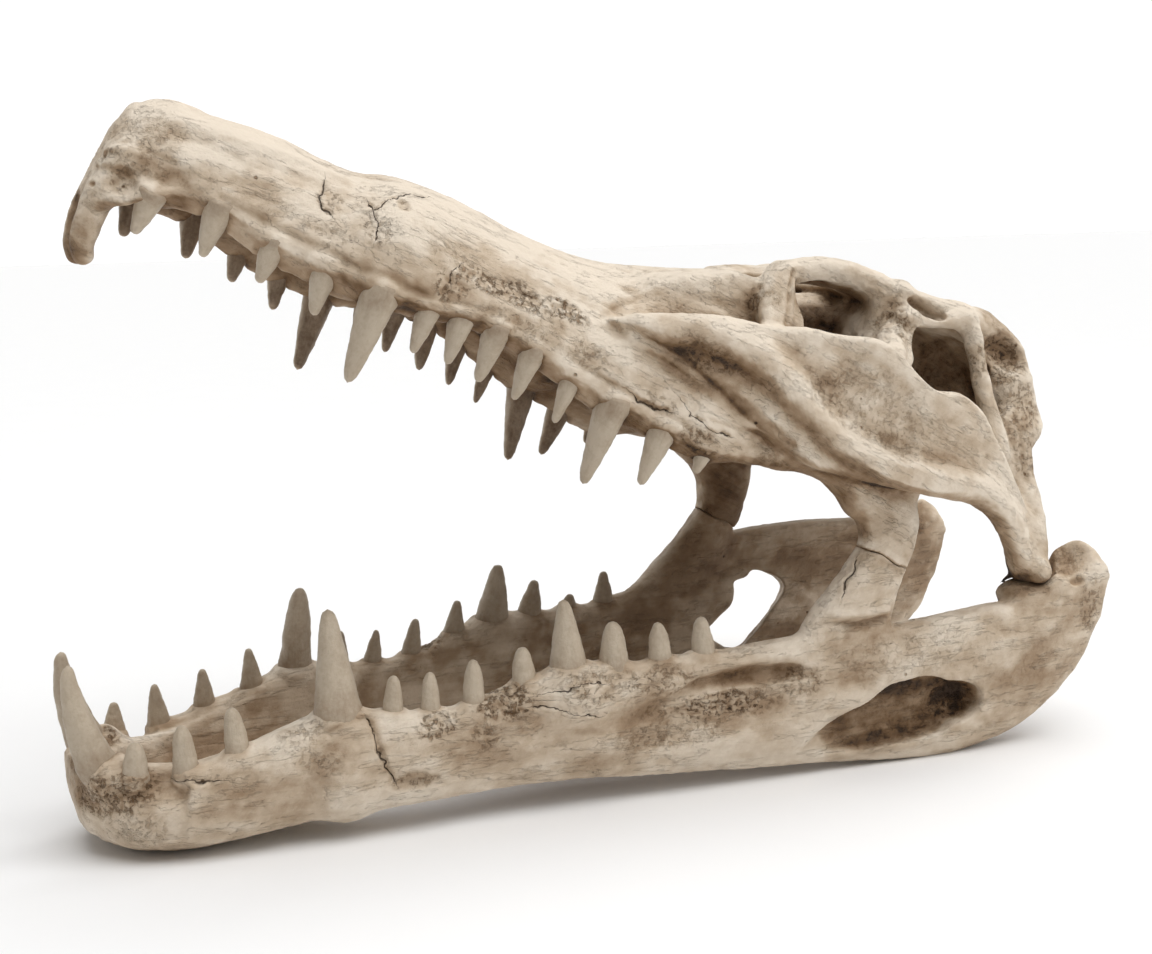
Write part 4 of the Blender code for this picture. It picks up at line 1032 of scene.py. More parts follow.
        def carve(shape: Shape, blend: float = 2.0) -> None:
            """Cut such a shape away."""
            clay.cut(shape, blend, skull_place)

        # the snout
        put(self.dome())
        put(ball((217, 18, 2), (13, 10.5, 13)), 7.0)
        put(ball((151, 27, 0), (10, 8, 10)), 4.0)
        # the braincase, the table over it and the palate with its flange
        put(loft(20, 132, lambda a: (0.0, self.core_half(a), self.core_low(a), self.core_top(a), 2.8, 2.8)),
            3.0)
        put(loft(44, 92, lambda a: (0.0, 30.5 - 0.06 * (a - 60), 53.0 + 0 * a, self.table_top(a), 4.0, 2.5)),
            3.0)
        put(loft(52, 128, lambda a: (0.0, 36.0 + 0.02 * a, self.palate(a), self.palate(a) + 9.0, 4.0, 2.5)),
            3.0)
        flange = ((114, 34, -4.5), (101, 36.5, -1.8), (92, 37.5, 1.2), (84, 37.5, 2.6), (77, 37.3, 0.6),
                  (71, 37, -3))
        put(horn(flange, (2.6, 3, 3, 3, 3.2, 3)), 3.0)
        # the cheek and its ridge
        put(plate(self.jugal, lambda a, c: self.jugal_out(a) - 2.6, 3.0, 2.0, (28.0, 52.0)), 2.5)
        put(horn(self.jugal_ridge, (3.6, 4.6, 5.0, 4.6, 4.4, 4.6, 4.6, 4.4, 4.0), steps=3, flat=0.75), 3.0)
        # the walls round the eye and the roof between the eyes
        put(plate(self.post_orbit, self.wall_middle, 3.2, 2.0, (18.0, 42.0)), 3.0)
        put(horn(((80, 33, 44), (81, 38, 38), (83, 42, 33)), (4.6, 5.0, 5.0)), 2.5)
        put(ball((82, 16, 43), (6, 10, 12)), 3.0)
        put(plate(self.frontal, self.frontal_middle, 8.5, 2.5, (6.0, 32.0)), 4.0)
        put(horn(((112, 20, 46.5), (104, 20, 51), (95, 20, 54.4), (86, 20, 55.8)), (2.8, 2.6, 2.6, 2.6),
                 flat=2.8))
        # the table's edge and the bar below it
        put(ball((80.5, 29, 58.6), (3.4, 3.2, 3.0)), 1.5)
        put(horn(((88, 27, 56.5), (76, 29.5, 57.8), (68, 30.5, 58.8), (61, 31, 60.4), (56, 31, 60.6)),
                 (2.9, 3.0, 3.4, 3.8, 4.2)), 2.0)
        put(horn(((80, 34, 50.8), (74, 34.2, 52.4), (67, 34.4, 55.6), (60.3, 34.6, 59.2)),
                 (2.4, 2.0, 2.0, 3.0)), 1.5)
        # the wing at the rear, the bar down to the joint and its condyle
        put(horn(((49, 26, 59), (39, 27, 55.5), (29, 28.5, 46), (24, 30.5, 41)), (8.4, 9.2, 7.8, 7.0)), 3.0)
        put(horn(((30, 34, 38), (20.6, 35, 27), (11.0, 37, 16), (5.2, 38.5, 6)), (7.0, 5.7, 5.2, 4.8),
                 flat=0.75), 3.0)
        put(ball((4.0, 38, 3.6), (5.4, 7.4, 4.8)), 2.0)
        put(horn(((5.5, 35, -3), (6, 33.5, -6.5), (8, 32.5, -9)), (3.2, 2.8, 2.4)), 2.0)
        # the knob of the nape, and the hollows over it, of the ear and of the table's edge
        put(ball((20, 0, 38), (8, 6.5, 6.5)), 2.5)
        carve(ball((19, 0, 49), (9, 5.5, 4)), 1.5)
        carve(ball((42.5, 39, 57), (10, 7.5, 6.2)), 2.0)
        carve(ball((73.5, 34.6, 56.4), (6.8, 4.6, 2.4)), 1.0)
        # the bar before the ear's hollow
        put(horn(((59, 34.6, 59), (56, 36, 55.5), (48.5, 37.6, 45.4), (42, 38.2, 38.8), (34.5, 37.6, 32.2),
                  (26, 36, 26)), (3.0, 2.7, 2.8, 3.0, 3.2, 3.0)), 2.0)
        # the table's pit, the nostril, the eye's inside and the opening behind it
        carve(ball((62, 14, 66), (11, 8, 7)), 2.0)
        carve(ball((264, 0, 21), (13, 6.5, 8)), 2.0)
        carve(ball((103, 24, 43), (10, 8, 8)), 2.0)
        carve(ball((52, 26, 46), (13, 9, 9)), 2.0)
        # grooves over and under the ridge before the eye
        upper_groove = ((162, 30.0, 12), (152, 29, 21), (138, 30.5, 28.5), (124, 31, 31.5))
        carve(horn(upper_groove, (0.8, 1.6, 1.8, 1.4)), 2.0)
        lower_groove = ((164, 33, 10), (148, 37.5, 10.5), (132, 40.5, 8.5), (117, 42.5, 4.8),
                        (102, 44.5, 1.5))
        carve(horn(lower_groove, (0.8, 2.4, 2.6, 2.4, 1.4)), 2.0)
        # a swelling over each tooth
        for station, _, thickness, _, _ in self.tooth_row:
            row = float(self.width(np.array(station))) - self.tooth_inset
            seat = (thickness / 2 + 0.4, thickness / 2 + 0.2, 3.0)
            put(ball((station, row, float(self.margin(np.array(station))) + 1.6), seat), 2.5)
        clay.mirror()
        # the far gum hangs lower
        far_gum = ((276, 10.5, -11.6), (270, 11.7, -10.6), (262, 13.3, -9.8), (246, 16.8, -11.9),
                   (232, 21.4, -12.4),
                   (214, 25.6, -10.6))
        put(horn(far_gum, (2.0, 2.3, 2.3, 2.3, 2.3, 1.8)), 2.0)
        # what isn't the same on both sides, and the hook and the post
        for side in Side:
            back = self.far_brow_back if side is Side.RIGHT else 0.0
            sign = side.value
            brow = [(along - back * fade, sign * y, up) for along, y, up, fade in self.brow]
            put(horn(brow, (3.6, 3.3, 3.0, 2.9, 2.9)), 2.0)
            rim = [(along - back * float(np.clip((up - 28) / 13, 0.0, 1.0)), up) for along, up in self.blade]
            span = sorted((sign * 20.0, sign * 40.0))
            put(plate(rim, lambda a, c, sign=sign: sign * (33.0 - 0.26 * (c - 28.0)), 3.4, 2.5, span), 2.0)
            fold = ((111.5 - back, sign * 32.8, 46), (110.8 - back, sign * 34.6, 41),
                    (109.5, sign * 36.5, 34))
            carve(horn(fold, (3.0, 3.4, 3.2)), 1.0)
            hook = ((284.0, sign * 7.5, -6), (286.5, sign * 6.8, -17), (285.8, sign * 5.8, -27),
                    (284.2, sign * 5, -31.0))
            put(horn(hook, (5.0, 3.8, 3.2, 2.7), steps=5), 2.5)
            clay.add(self.jaw.stump(side), blend=4.0)
        return clay


# --- surfaces
def value_noise(places: np.ndarray, size: Point, seed: int) -> np.ndarray:
    """Smooth random bumps from -1 to 1.

    Args:
        places: points, one to a row.
        size: how long a bump is along each axis.
        seed: which bumps.

    Returns:
        The height of the bumps at each point.
    """
    count = 32
    table = np.random.default_rng(seed).uniform(-1.0, 1.0, count ** 3)
    spot = (places / size).T
    cell = np.floor(spot).astype(int)
    t = spot - cell
    t = t * t * (3 - 2 * t)
    pitch = np.array(((count ** 2,), (count,), (1,)))
    start = cell % count * pitch
    end = (cell + 1) % count * pitch

    def blended(axis: int, index: np.ndarray | int) -> np.ndarray:
        """The table's values at an index, blended along an axis and those after it."""
        if axis == 3:
            return table[index]
        low = blended(axis + 1, index + start[axis])
        return low + t[axis] * (blended(axis + 1, index + end[axis]) - low)

    return blended(0, 0)


def ease(value: np.ndarray, low: float, high: float) -> np.ndarray:
    """A smooth step from 0 at low to 1 at high."""
    t = np.clip((value - low) / (high - low), 0.0, 1.0)
    return t * t * (3 - 2 * t)


def mouth_shade_and_wash(places: np.ndarray, normals: np.ndarray, turned: bool) -> np.ndarray:
    """How far points lie on the mouth's side, which gets painted shade and brown wash.

    Args:
        places: points in the bone's own frame.
        normals: their outward directions in the world.
        turned: whether the bone is the upper skull.

    Returns:
        0 on the outside to 1 on the inside, for each point.
    """
    along, across, up = places.T
    inward = ease(-normals[:, 1] * np.sign(across), 0.05, 0.6)
    if not turned:
        return inward * ease(up, 2.0, 12.0)
    down = -(normals[:, 2] * math.cos(GAPE) + normals[:, 0] * math.sin(GAPE))
    mouth = ease(down, 0.1, 0.7) * ease(28.0 - up, 0.0, 10.0)
    return np.maximum(mouth, inward * ease(20.0 - up, 0.0, 8.0))


def lay_on(mesh: bpy.types.Mesh, word: str, values: Sequence, kind: str = "FLOAT") -> None:
    """Store a value for each point of a mesh under a word."""
    part = "vector" if kind == "FLOAT_VECTOR" else "value"
    mesh.attributes.new(word, kind, "POINT").data.foreach_set(part, values)


def linked(name: str, data: bpy.types.ID) -> bpy.types.Object:
    """A new object of this data, in the scene."""
    item = bpy.data.objects.new(name, data)
    bpy.context.scene.collection.objects.link(item)
    return item


def cut_flat(mesh: bpy.types.Mesh, planes: Sequence[tuple]) -> None:
    """Cut a mesh off at planes and close each cut with a lid.

    Args:
        mesh: the mesh, in metres round the model's origin.
        planes: a point on each plane, in millimetres from the chin, and its outward direction.
    """
    body = bmesh.new()
    body.from_mesh(mesh)
    for point, outward in planes:
        origin = (np.array(point) - ORIGIN) * MM
        cut = bmesh.ops.bisect_plane(body, geom=[*body.verts, *body.edges, *body.faces], plane_co=origin,
                                     plane_no=outward, clear_outer=True, dist=1e-7)
        edges = [part for part in cut["geom_cut"] if isinstance(part, bmesh.types.BMEdge)]
        rim = [edge for edge in edges if edge.is_boundary]
        lid = bmesh.ops.triangle_fill(body, use_beauty=False, edges=rim, normal=outward)
        turned = [face for face in lid["geom"] if isinstance(face, bmesh.types.BMFace)
                  and sum(a * b for a, b in zip(face.normal, outward)) < 0]
        bmesh.ops.reverse_faces(body, faces=turned)
    body.to_mesh(mesh)
    body.free()


class Skin:
    """A casting's surface: points in millimetres, faces, and what is painted on it."""

    def __init__(self, clay: Clay, turned: bool) -> None:
        """The largest body of the clay.

        Args:
            clay: what it is taken off.
            turned: whether the bone's own frame is the upper skull's.
        """
        self.clay = clay
        self.turned = turned
        points, faces = clay.surface()
        label = np.arange(len(points))
        while True:
            lowest = label.copy()
            np.minimum.at(lowest, faces.ravel(), np.repeat(label[faces].min(axis=1), 4))
            lowest = lowest[lowest]
            if np.array_equal(lowest, label):
                break
            label = lowest
        kept = label == np.bincount(label).argmax()
        place = np.cumsum(kept) - 1
        self.points = points[kept]
        self.faces = place[faces[kept[faces[:, 0]]]]
        self.normals = self.face_out()
        self.height = np.zeros(len(self.points))
        self.paint = {word: self.height.copy() for word in ("stain", "porous")}

    def face_out(self) -> np.ndarray:
        """The outward direction at each point."""
        corner = self.points[self.faces]
        across = np.cross(corner[:, 2] - corner[:, 0], corner[:, 3] - corner[:, 1])
        total = np.stack([np.bincount(self.faces.ravel(), np.repeat(across[:, i], 4), len(self.points))
                          for i in range(3)], axis=1)
        return total / np.maximum(np.linalg.norm(total, axis=1, keepdims=True), 1e-9)

    def own_places(self) -> np.ndarray:
        """The points in the bone's own frame, whose first axis runs along the bone."""
        if not self.turned:
            return self.points
        u, v = skull_place(self.points[:, 0], self.points[:, 2])
        return np.stack([u, self.points[:, 1], v], axis=1)

    def closeness(self, reach: float) -> np.ndarray:
        """The share of solid around each point: half on a flat, more in a hollow.

        Args:
            reach: how far around is looked at, in millimetres.

        Returns:
            The share at each point.
        """
        pitch = 2 * VOXEL
        solid = np.clip(0.5 - self.clay.field[::2, ::2, ::2] / pitch, 0.0, 1.0)
        half = max(1, round(reach / pitch))
        for axis in range(3):
            for _ in range(2):
                solid = np.moveaxis(solid, axis, 0)
                padded = np.concatenate([np.zeros((half + 1, *solid.shape[1:])), solid,
                                         np.zeros((half, *solid.shape[1:]))])
                total = np.cumsum(padded, axis=0)
                solid = np.moveaxis((total[2 * half + 1:] - total[:-2 * half - 1]) / (2 * half + 1), 0, axis)
        spot = (self.points - self.clay.low) / pitch
        spot = np.clip(spot, 0, np.array(solid.shape) - 1.001)
        cell = np.floor(spot).astype(int)
        t = spot - cell
        share = np.zeros(len(spot))
        for corner in np.ndindex(2, 2, 2):
            index = cell + corner
            weight = np.prod(np.where(corner, t, 1 - t), axis=1)
            share += weight * solid[index[:, 0], index[:, 1], index[:, 2]]
        return share

    def along(self, line: np.ndarray, places: np.ndarray) -> tuple[np.ndarray, np.ndarray]:
        """How the points lie to a line of knots.

        Args:
            line: the knots, one to a row.
            places: the points in the line's own frame.

        Returns:
            The distance from the line, and the same with a sign for the side of it.
        """
        felt = 9.0
        near = np.full(len(places), FAR)
        signed = near.copy()
        close = np.flatnonzero((places > line.min(axis=0) - felt).all(axis=1)
                               & (places < line.max(axis=0) + felt).all(axis=1))
        spots = places[close]
        for start, end in zip(line[:-1], line[1:]):
            run = end - start
            t = np.clip((spots - start) @ run / (run @ run), 0.0, 1.0)
            off = spots - start - t[:, None] * run
            away = np.linalg.norm(off, axis=1)
            closer = away < near[close]
            which = close[closer]
            near[which] = away[closer]
            out = self.normals[which] if not self.turned else skull_direction(self.normals[which])
            signed[which] = away[closer] * np.sign(np.einsum("ij,ij->i", np.cross(run, out), off[closer]))
        return near, signed

    def brown(self, share: np.ndarray) -> None:
        """Brown every point at least as much as this, as wash and painted shade."""
        self.paint["stain"] = np.maximum(self.paint["stain"], share)

    def press(self, patches: Sequence[Patch], places: np.ndarray) -> None:
        """Sink the patches, brown them with wash and painted shade, and note where they are porous.

        Args:
            patches: the patches.
            places: the points in the bone's own frame.
        """
        ragged = 0.22 * value_noise(places, (5.0, 5.0, 5.0), 71)
        for patch in patches:
            away = np.linalg.norm((places - patch.centre) / patch.radii, axis=1)
            away += ragged
            share = ease(-away, -1.05, -0.55)
            self.paint["porous"] = np.maximum(self.paint["porous"], patch.pits * share)
            self.brown(patch.stain * share)
            self.height -= patch.sink * ease(-away, -1.1, -0.1)

    def roughen(self, grains: Sequence[Grain], places: np.ndarray) -> np.ndarray:
        """Raise the grain, and the spongy bone of the porous patches.

        Args:
            grains: the layers of roughness.
            places: the points in the bone's own frame.

        Returns:
            How much each point was raised.
        """
        fine = sum(grain.relief(places) for grain in grains)
        walls = (np.abs(value_noise(places, (1.3, 1.3, 1.3), 91))
                 + np.abs(value_noise(places, (2.2, 2.2, 2.2), 92)))
        fine -= self.paint["porous"] ** 2 * (0.55 * np.clip(0.8 - 1.5 * walls, -0.2, 0.8)
                                             + 0.22 * value_noise(places, (1.6, 1.6, 1.6), 93))
        self.height += fine
        return fine

    def score(self, grooves: Sequence[Groove], places: np.ndarray) -> None:
        """Score the grooves, raise the ridges and brown both, with wash and painted shade in the creases.

        Args:
            grooves: the grooves.
            places: the points in the bone's own frame.
        """
        uneven = 1.0 + 0.25 * value_noise(places, (6.0, 6.0, 6.0), 72)
        for groove in grooves:
            near, _ = self.along(np.array(smooth_path(groove.points, 4)), places)
            near = near * uneven
            self.height -= groove.depth * np.exp(-(near / groove.width) ** 2)
            self.brown(groove.stain * np.exp(-(near / (1.6 * groove.width)) ** 2))

    def seat(self, teeth: Sequence[Tooth]) -> None:
        """Swell the bone round each tooth and draw a fine brown line at its foot.

        Args:
            teeth: the teeth that stand in the bone.
        """
        stain = self.paint["stain"]
        for one in teeth:
            close = np.linalg.norm(self.points - one.base, axis=1) < one.thickness + 5.0
            away, rise = one.away(self.points[close])
            there = ease(rise, 0.02, 0.16)
            swell = 0.12 + 0.25 * value_noise(self.points[close], (2.5, 2.5, 2.5), 55)
            self.height[close] += there * (swell * np.exp(-((away - 1.5) / 1.4) ** 2)
                                           - 0.35 * np.exp(-((away - 0.2) / 0.5) ** 2))
            stain[close] = np.maximum(stain[close], 0.5 * there * np.exp(-((away - 0.1) / 1.1) ** 2))

    def split(self, cracks: Sequence[np.ndarray], places: np.ndarray) -> None:
        """Open the cracks, each with one raised lip.

        Args:
            cracks: the points of each crack.
            places: the points in the bone's own frame.
        """
        reach = np.zeros(len(places))
        offset = np.full(len(places), 8.0)
        wander = (0.9 * value_noise(places, (3.2, 3.2, 3.2), 73)
                  + 0.6 * value_noise(places, (1.3, 1.3, 1.3), 74))
        for crack in cracks:
            near, signed = self.along(crack, places)
            nearer = near < np.abs(offset)
            offset[nearer] = signed[nearer]
            reach = np.maximum(reach, np.clip(2.2 - near / 1.5, 0.0, 1.0))
        offset = offset + wander
        self.height -= (0.45 * reach * np.exp(-(offset / 0.45) ** 2)
                        - 0.25 * reach * np.exp(-((offset - 1.2) / 0.7) ** 2))
        self.paint |= {"crack": offset, "crack_reach": reach}

    def weather(self, grains: Sequence[Grain], teeth: Sequence[Tooth], marks: Marks) -> None:
        """Roughen the surface, seat the teeth and paint what the finish needs to know, painted shade and
        painted highlight among it.

        Args:
            grains: the layers of roughness.
            teeth: the teeth that stand in the bone.
            marks: the lines, patches and cracks worked into it.
        """
        places = self.own_places()
        self.press(marks.patches, places)
        fine = self.roughen(grains, places)
        self.score(marks.grooves, places)
        self.seat(teeth)
        self.split(marks.cracks, places)
        # painted shade and painted highlight: darker where solid closes round a point, lighter on ridges and
        # on raised grain
        hollow = (np.clip(2.3 * (self.closeness(2.6) - 0.51), -0.16, 0.7)
                  + np.clip(1.4 * (self.closeness(9.0) - 0.50), -0.12, 0.5))
        low, high = (np.array(corner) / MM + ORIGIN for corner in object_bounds())
        pushed = self.points + self.normals * self.height[:, None]
        self.points = np.clip(pushed, low + 0.02, high - 0.02)
        self.normals = self.face_out()
        self.paint |= {"hollow": hollow - np.clip(fine / 0.9, -0.25, 0.25),
                       # painted highlight: faces that look up are painted lighter
                       "top": ease(self.normals[:, 2], -0.1, 0.9),
                       # painted shade and brown wash on the mouth's side
                       "inner": mouth_shade_and_wash(self.own_places(), self.normals, self.turned)}

    def piece(self, name: str, planes: Sequence[tuple]) -> bpy.types.Object:
        """The closed part of the surface behind some planes, as an object in metres.

        Args:
            name: what the piece is called.
            planes: a point on each plane and its outward direction.

        Returns:
            The object, with the paint as attributes and the whole casting's shading.
        """
        mesh = bpy.data.meshes.new(name)
        near = np.ones(len(self.faces), dtype=bool)
        for point, outward in planes:
            beyond = (self.points - point) @ np.array(outward) > 0.0
            near &= ~beyond[self.faces].all(axis=1)
        faces = self.faces[near]
        used = np.zeros(len(self.points), dtype=bool)
        used[faces] = True
        place = np.cumsum(used) - 1
        mesh.vertices.add(int(used.sum()))
        mesh.vertices.foreach_set("co", ((self.points[used] - ORIGIN) * MM).ravel())
        mesh.loops.add(faces.size)
        mesh.loops.foreach_set("vertex_index", place[faces].ravel())
        mesh.polygons.add(len(faces))
        mesh.polygons.foreach_set("loop_start", np.arange(len(faces)) * 4)
        mesh.update(calc_edges=True)
        for word, values in self.paint.items():
            lay_on(mesh, word, values[used])
        lay_on(mesh, "facing", self.normals[used].ravel(), "FLOAT_VECTOR")
        cut_flat(mesh, planes)
        shading = np.empty(3 * len(mesh.vertices))
        mesh.attributes["facing"].data.foreach_get("vector", shading)
        mesh.attributes.remove(mesh.attributes["facing"])
        mesh.shade_smooth()
        mesh.normals_split_custom_set_from_vertices(shading.reshape(-1, 3).tolist())
        return linked(name, mesh)


# --- node trees
class NodeTree:
    """A node tree with short ways to add to it."""

    def __init__(self, tree: bpy.types.NodeTree) -> None:
        """Short ways for this tree."""
        self.tree = tree

    def node(self, kind: str, inputs: dict | None = None, **settings: object) -> bpy.types.Node:
        """Add a node.

        Args:
            kind: its type.
            inputs: what each input, by its name or number, is linked or set to.
            settings: its other properties.

        Returns:
            The node.
        """
        added = self.tree.nodes.new(kind)
        for word, value in settings.items():
            setattr(added, word, value)
        for word, value in (inputs or {}).items():
            if isinstance(value, Socket):
                self.tree.links.new(value, added.inputs[word])
            else:
                added.inputs[word].default_value = value
        return added

    def first(self, kind: str, inputs: dict | None = None, **settings: object) -> Socket:
        """The first output of an added node."""
        return self.node(kind, inputs, **settings).outputs[0]

    def sum(self, operation: str, *numbers: object) -> Socket:
        """The result of a sum on up to three numbers."""
        return self.first("ShaderNodeMath", dict(enumerate(numbers)), operation=operation)

    def swing(self, layer: Socket) -> Socket:
        """A layer from 0 to 1 as one from -0.5 to 0.5."""
        return self.sum("SUBTRACT", layer, 0.5)

    def between(self, value: object, low: float, high: float, start: object = 0.0,
                end: float = 1.0) -> Socket:
        """A value's smooth way from low to high, as a number from start to end."""
        inputs = {"Value": value, "From Min": low, "From Max": high, "To Min": start, "To Max": end}
        return self.first("ShaderNodeMapRange", inputs, interpolation_type="SMOOTHSTEP")


class Shader(NodeTree):
    """A material's node tree."""

    def __init__(self, name: str) -> None:
        """An empty material with its main shader, and the places on its piece."""
        self.material = bpy.data.materials.new(name)
        self.material.use_nodes = True
        super().__init__(self.material.node_tree)
        self.main = self.tree.nodes["Principled BSDF"]
        self.spot = self.node("ShaderNodeTexCoord").outputs["Object"]

    def paint(self, name: str) -> Socket:
        """What is painted on the surface under a name."""
        return self.node("ShaderNodeAttribute", attribute_name=name).outputs["Fac"]

    def drawn_out(self, places: Socket, scale: Point, turn: Point = (0.0, 0.0, 0.0)) -> Socket:
        """Places turned and then squeezed, so that a pattern on them is drawn out."""
        turned = self.first("ShaderNodeMapping", {"Vector": places, "Rotation": turn})
        return self.first("ShaderNodeMapping", {"Vector": turned, "Scale": scale})

    def noise(self, scale: float, detail: float, roughness: float = 0.55,
              places: Socket | None = None) -> Socket:
        """Random bumps from 0 to 1, on the piece's own places if no others are given."""
        inputs = {"Vector": self.spot if places is None else places, "Scale": scale, "Detail": detail,
                  "Roughness": roughness}
        return self.node("ShaderNodeTexNoise", inputs).outputs["Fac"]

    def ramp(self, value: Socket, stops: Sequence[tuple[float, tuple]]) -> Socket:
        """A value turned to colour.

        Args:
            value: the value.
            stops: a place and the colour there for each stop.

        Returns:
            The colour.
        """
        ramp = self.node("ShaderNodeValToRGB", {"Fac": value})
        elements = ramp.color_ramp.elements
        while len(elements) < len(stops):
            elements.new(0.5)
        for element, (place, colour) in zip(elements, stops):
            element.position = place
            element.color = (*colour, 1.0)
        return ramp.outputs["Color"]

    def piled(self, number: object, *layers: tuple[Socket, float]) -> Socket:
        """A number with layers added to it.

        Args:
            number: the number.
            layers: each layer and its weight.

        Returns:
            The sum.
        """
        for layer, weight in layers:
            number = self.sum("MULTIPLY_ADD", layer, weight, number)
        return number

    def relief(self, *layers: tuple[Socket, float]) -> Socket:
        """Reliefs, one over another.

        Args:
            layers: the height of each and its depth in metres.

        Returns:
            The direction of the surface.
        """
        under = {}
        for height, depth in layers:
            inputs = {"Height": height, "Distance": depth, "Strength": 1.0, **under}
            under = {"Normal": self.node("ShaderNodeBump", inputs).outputs["Normal"]}
        return under["Normal"]

    def finish(self, colour: Socket, roughness: Socket, normal: Socket) -> bpy.types.Material:
        """Plug colour, roughness and relief into the main shader.

        Args:
            colour: the base colour.
            roughness: the roughness.
            normal: the relief.

        Returns:
            The finished material.
        """
        for word, socket in (("Base Color", colour), ("Roughness", roughness), ("Normal", normal)):
            self.tree.links.new(socket, self.main.inputs[word])
        self.main.inputs["Specular IOR Level"].default_value = 0.35
        return self.material


@dataclass(frozen=True)
class BoneFinish:
    """Cast resin painted as old bone, with brown wash and painted shade in every hollow, a painted highlight
    on top and painted shade on the mouth's side.
    """

    name: str
    tilt: float
    wash: float
    # below 0, a painted highlight that lightens faces looking up
    top: float
    # how much painted shade and brown wash darken the mouth's side
    inner: float
    pale: tuple = (0.78, 0.677, 0.55)
    cream: tuple = (0.585, 0.467, 0.342)
    tan: tuple = (0.36, 0.25, 0.155)
    brown: tuple = (0.165, 0.092, 0.041)
    dark: tuple = (0.050, 0.027, 0.013)

    def material(self) -> bpy.types.Material:
        """The finish as a node tree."""
        sh = Shader(self.name)
        lengthwise = sh.drawn_out(sh.spot, (0.16, 1.0, 1.0), (0.0, self.tilt, 0.0))
        crosswise = sh.drawn_out(sh.spot, (0.25, 1.0, 1.0), (0.3, self.tilt + 0.9, 0.2))
        clouds = sh.noise(38.0, 4.0, 0.6)
        blotch = sh.noise(170.0, 5.0, 0.65)
        fine = sh.noise(900.0, 4.0, 0.65)
        streak = sh.noise(480.0, 5.0, 0.62, lengthwise)
        strokes = sh.noise(420.0, 4.0, 0.6, crosswise)
        flakes = sh.between(sh.noise(260.0, 5.0, 0.7, lengthwise), 0.53, 0.57)
        hollow = sh.paint("hollow")
        loose = sh.between(sh.sum("MULTIPLY_ADD", clouds, 0.6, hollow), 0.25, 1.0)
        specks = sh.sum("MULTIPLY", sh.between(sh.noise(420.0, 3.0, 0.7), 0.58, 0.72), loose)
        pitted = sh.sum("MULTIPLY", sh.between(sh.noise(640.0, 4.0, 0.72), 0.50, 0.62),
                        sh.sum("MULTIPLY_ADD", loose, 0.3, sh.paint("porous")))
        hole = self.holes(sh)
        line = self.crack_line(sh)
        tone = sh.piled(
            # hollow: painted shade in hollows and a painted highlight on ridges
            self.wash, (hollow, 0.62), (sh.swing(clouds), 0.3), (sh.swing(blotch), 0.32),
            # the brown of the marks: wash, and painted shade in creases and shaded places
            (sh.swing(streak), 0.24), (sh.swing(strokes), 0.16), (sh.paint("stain"), 0.45),
            # painted shade and brown wash on the mouth's side, and a painted highlight on faces that look up
            (sh.paint("inner"), self.inner), (sh.paint("top"), self.top), (pitted, 0.30), (specks, 0.20),
            (hole, 0.35))
        colour = sh.ramp(tone, ((0.0, self.pale), (0.26, self.cream), (0.52, self.tan), (0.82, self.brown),
                                (1.0, self.dark)))
        colours = {0: sh.sum("MULTIPLY", line, 0.85), 6: colour, 7: (*self.dark, 1.0)}
        colour = sh.node("ShaderNodeMix", colours, data_type="RGBA").outputs[2]
        open_places = sh.sum("SUBTRACT", 1.0, sh.sum("ADD", pitted, hole))
        relief = sh.relief((streak, 0.00050), (strokes, 0.00045), (flakes, 0.00025), (fine, 0.00026),
                           (open_places, 0.00055), (sh.sum("SUBTRACT", 1.0, line), 0.0009))
        return sh.finish(colour, sh.between(fine, 0.3, 0.75, 0.52, 0.78), relief)

    @staticmethod
    def holes(sh: Shader) -> Socket:
        """A few round pinholes: 1 inside them."""
        cells = sh.node("ShaderNodeTexVoronoi", {"Vector": sh.spot, "Scale": 260.0})
        few = sh.first("ShaderNodeSeparateColor", {0: cells.outputs["Color"]})
        return sh.sum("MULTIPLY", sh.between(cells.outputs["Distance"], 0.06, 0.16, 1.0, 0.0),
                      sh.between(few, 0.955, 0.965))

    @staticmethod
    def crack_line(sh: Shader) -> Socket:
        """The dark line of a crack, a little ragged: 1 in its middle."""
        wander = sh.sum("MULTIPLY_ADD", sh.swing(sh.noise(800.0, 3.0)), 0.6, sh.paint("crack"))
        line = sh.between(sh.sum("ABSOLUTE", wander), 0.05, 0.32, 1.0, 0.0)
        return sh.sum("MULTIPLY", line, sh.paint("crack_reach"))


@dataclass(frozen=True)
class ToothFinish:
    """Cast teeth: smoother than the bone, streaked along their length, brown at the root, with painted shade
    and brown wash on the side facing the mouth.
    """

    name: str
    # how much painted shade and brown wash darken the side facing the mouth
    inner: float
    ivory: tuple = (0.52, 0.435, 0.33)
    smoky: tuple = (0.34, 0.255, 0.175)
    root: tuple = (0.12, 0.074, 0.042)

    def material(self) -> bpy.types.Material:
        """The finish as a node tree."""
        sh = Shader(self.name)
        own = sh.node("ShaderNodeAttribute", attribute_name="own").outputs["Vector"]
        lengthwise = sh.drawn_out(own, (1.0, 1.0, 0.12))
        streak = sh.noise(7.0, 4.0, 0.6, lengthwise)
        ridges = sh.noise(22.0, 2.0, 0.5, lengthwise)
        blotch = sh.noise(240.0, 4.0, 0.6)
        fine = sh.noise(1100.0, 3.0, 0.6)
        # the side facing the mouth gets painted shade and brown wash
        tone = sh.piled(sh.between(sh.paint("rise"), 0.14, 0.42, 0.34, 0.06), (sh.swing(streak), 0.3),
                        (sh.swing(blotch), 0.7), (sh.swing(fine), 0.35), (sh.paint("inner"), self.inner))
        colour = sh.ramp(tone, ((0.0, self.ivory), (0.5, self.smoky), (1.0, self.root)))
        relief = sh.relief((streak, 0.00014), (ridges, 0.00005), (blotch, 0.00040), (fine, 0.00020))
        return sh.finish(colour, sh.between(blotch, 0.3, 0.7, 0.42, 0.62), relief)


